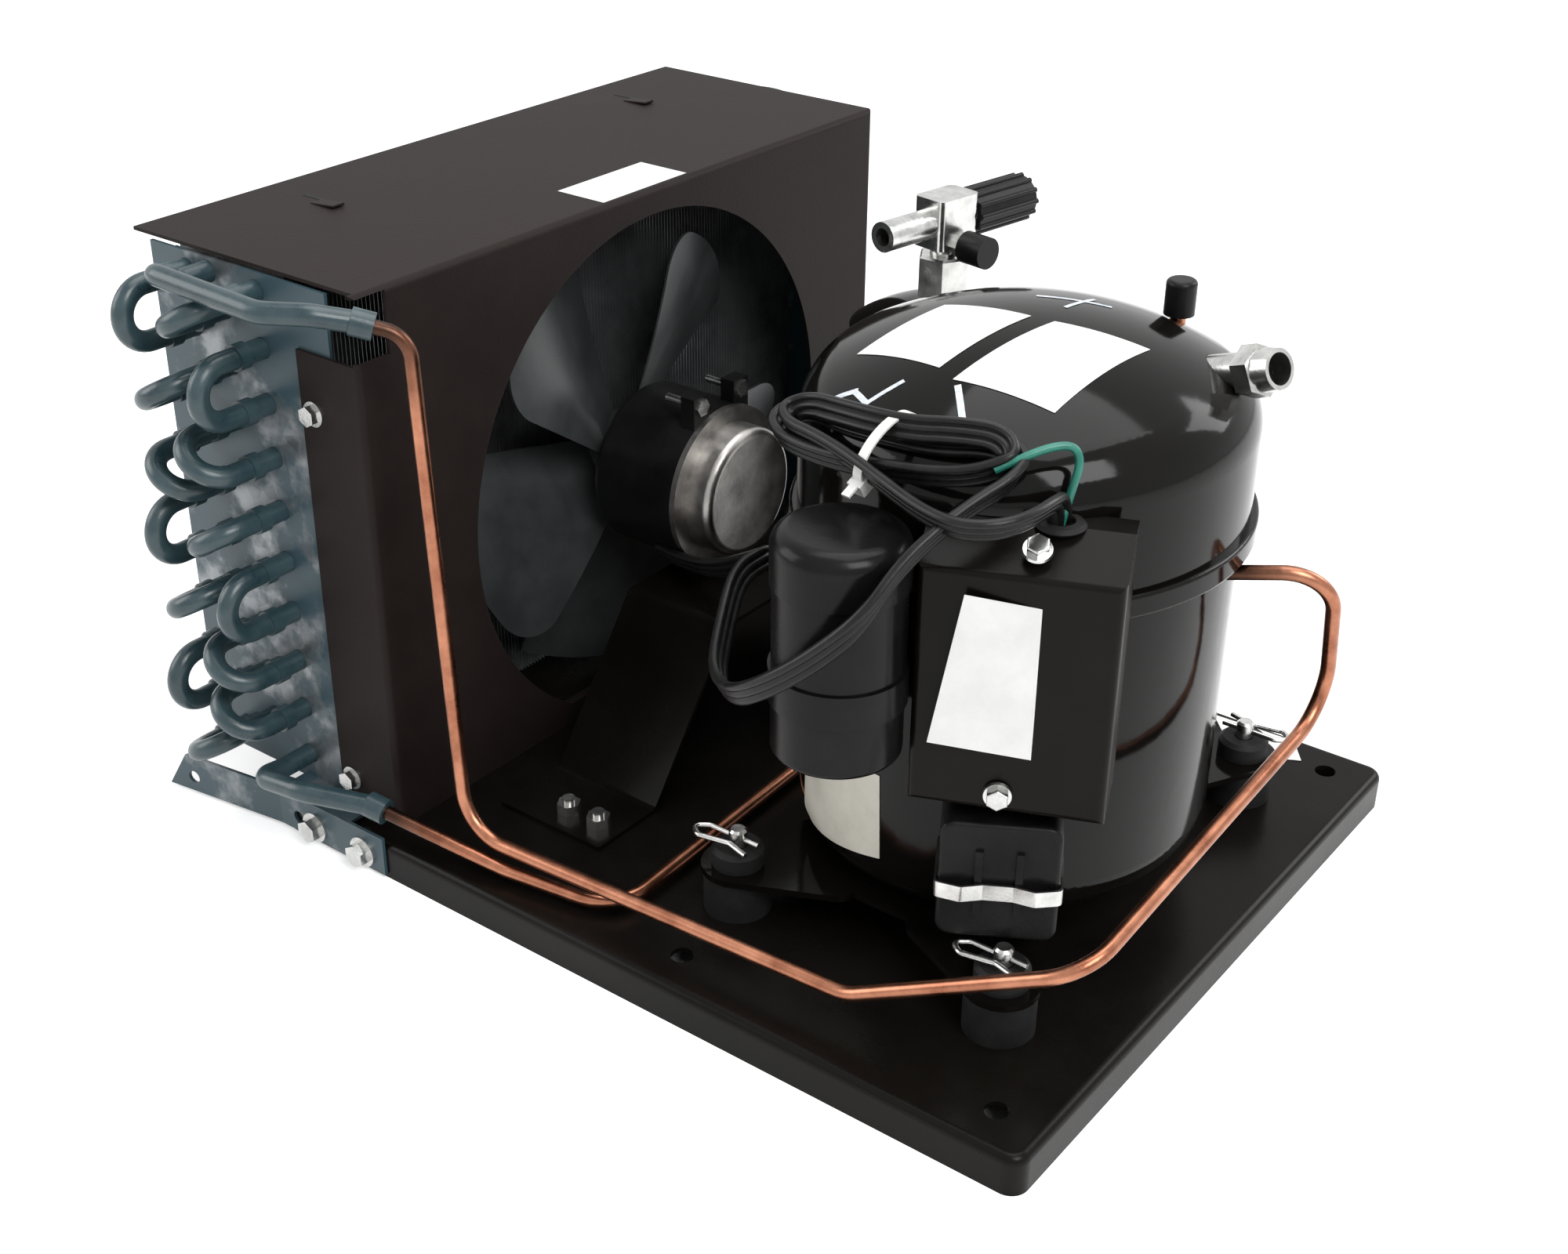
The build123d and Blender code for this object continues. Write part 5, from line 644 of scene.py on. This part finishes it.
# Hank tie: a white nylon strap drawn round the folded lead, with its square lock on the near side.
nylon = coating("nylon", (0.72, 0.72, 0.70), (0.84, 0.84, 0.82), roughness=0.38, patch_scale=120,
                peel_scale=900, peel=0.1)
bm = bmesh.new()
bmesh.ops.create_circle(bm, cap_ends=False, segments=48, radius=1.0)
bmesh.ops.scale(bm, verts=bm.verts, vec=(0.0175, 0.0095, 1.0))
raised = bmesh.ops.extrude_edge_only(bm, edges=bm.edges[:])
bmesh.ops.translate(bm, verts=[g for g in raised["geom"] if isinstance(g, bmesh.types.BMVert)],
                    vec=(0, 0, 0.0042))
bmesh.ops.recalc_face_normals(bm, faces=bm.faces)
bmesh.ops.solidify(bm, geom=bm.faces[:], thickness=0.0009)
lock = bmesh.ops.create_cube(bm, size=1.0)["verts"]
bmesh.ops.scale(bm, verts=lock, vec=(0.0062, 0.0055, 0.0066))
bmesh.ops.translate(bm, verts=lock, vec=(-0.0168, -0.0020, 0.0021))
tail = bmesh.ops.create_cube(bm, size=1.0)["verts"]
bmesh.ops.scale(bm, verts=tail, vec=(0.0070, 0.0010, 0.0038))
bmesh.ops.translate(bm, verts=tail, vec=(-0.0215, 0.0002, 0.0021))
tie_turn = (Matrix.Translation((0.1130, -0.1155, 0.2490)) @ Matrix.Rotation(radians(-8), 4, "Z")
            @ Matrix.Rotation(radians(30), 4, "X") @ Matrix.Rotation(radians(90), 4, "Y")
            @ Matrix.Rotation(radians(90), 4, "Z"))
bmesh.ops.transform(bm, matrix=tie_turn, verts=bm.verts)
chassis_piece(bm, "hank_tie", nylon)

# Earth wire: the lead's green core, stripped out in a short loop that goes back into the box.
green_pvc = coating("green_pvc", (0.010, 0.13, 0.095), (0.020, 0.22, 0.16), roughness=0.35,
                    patch_scale=90, peel_scale=900, peel=0.1)
earth_line = bpy.data.curves.new("earth_wire", "CURVE")
earth_line.dimensions = "3D"
earth_spline = earth_line.splines.new("NURBS")
earth_route = ((0.1600, -0.1130, 0.2520), (0.1660, -0.1080, 0.2560), (0.1740, -0.0985, 0.2600),
               (0.1800, -0.0920, 0.2600), (0.1830, -0.0915, 0.2540), (0.1820, -0.0950, 0.2440),
               (0.1800, -0.0975, 0.2300))
earth_spline.points.add(len(earth_route) - 1)
for point, place in zip(earth_spline.points, earth_route):
    point.co = (*place, 1)
earth_spline.order_u = 3
earth_spline.use_endpoint_u = True
earth_line.resolution_u = 12
earth_line.bevel_depth = 0.0016
earth_line.bevel_resolution = 4
earth_line.use_fill_caps = True
earth_line.materials.append(green_pvc)
earth = bpy.data.objects.new("earth_wire", earth_line)
scene.collection.objects.link(earth)
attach(earth, "chassis")
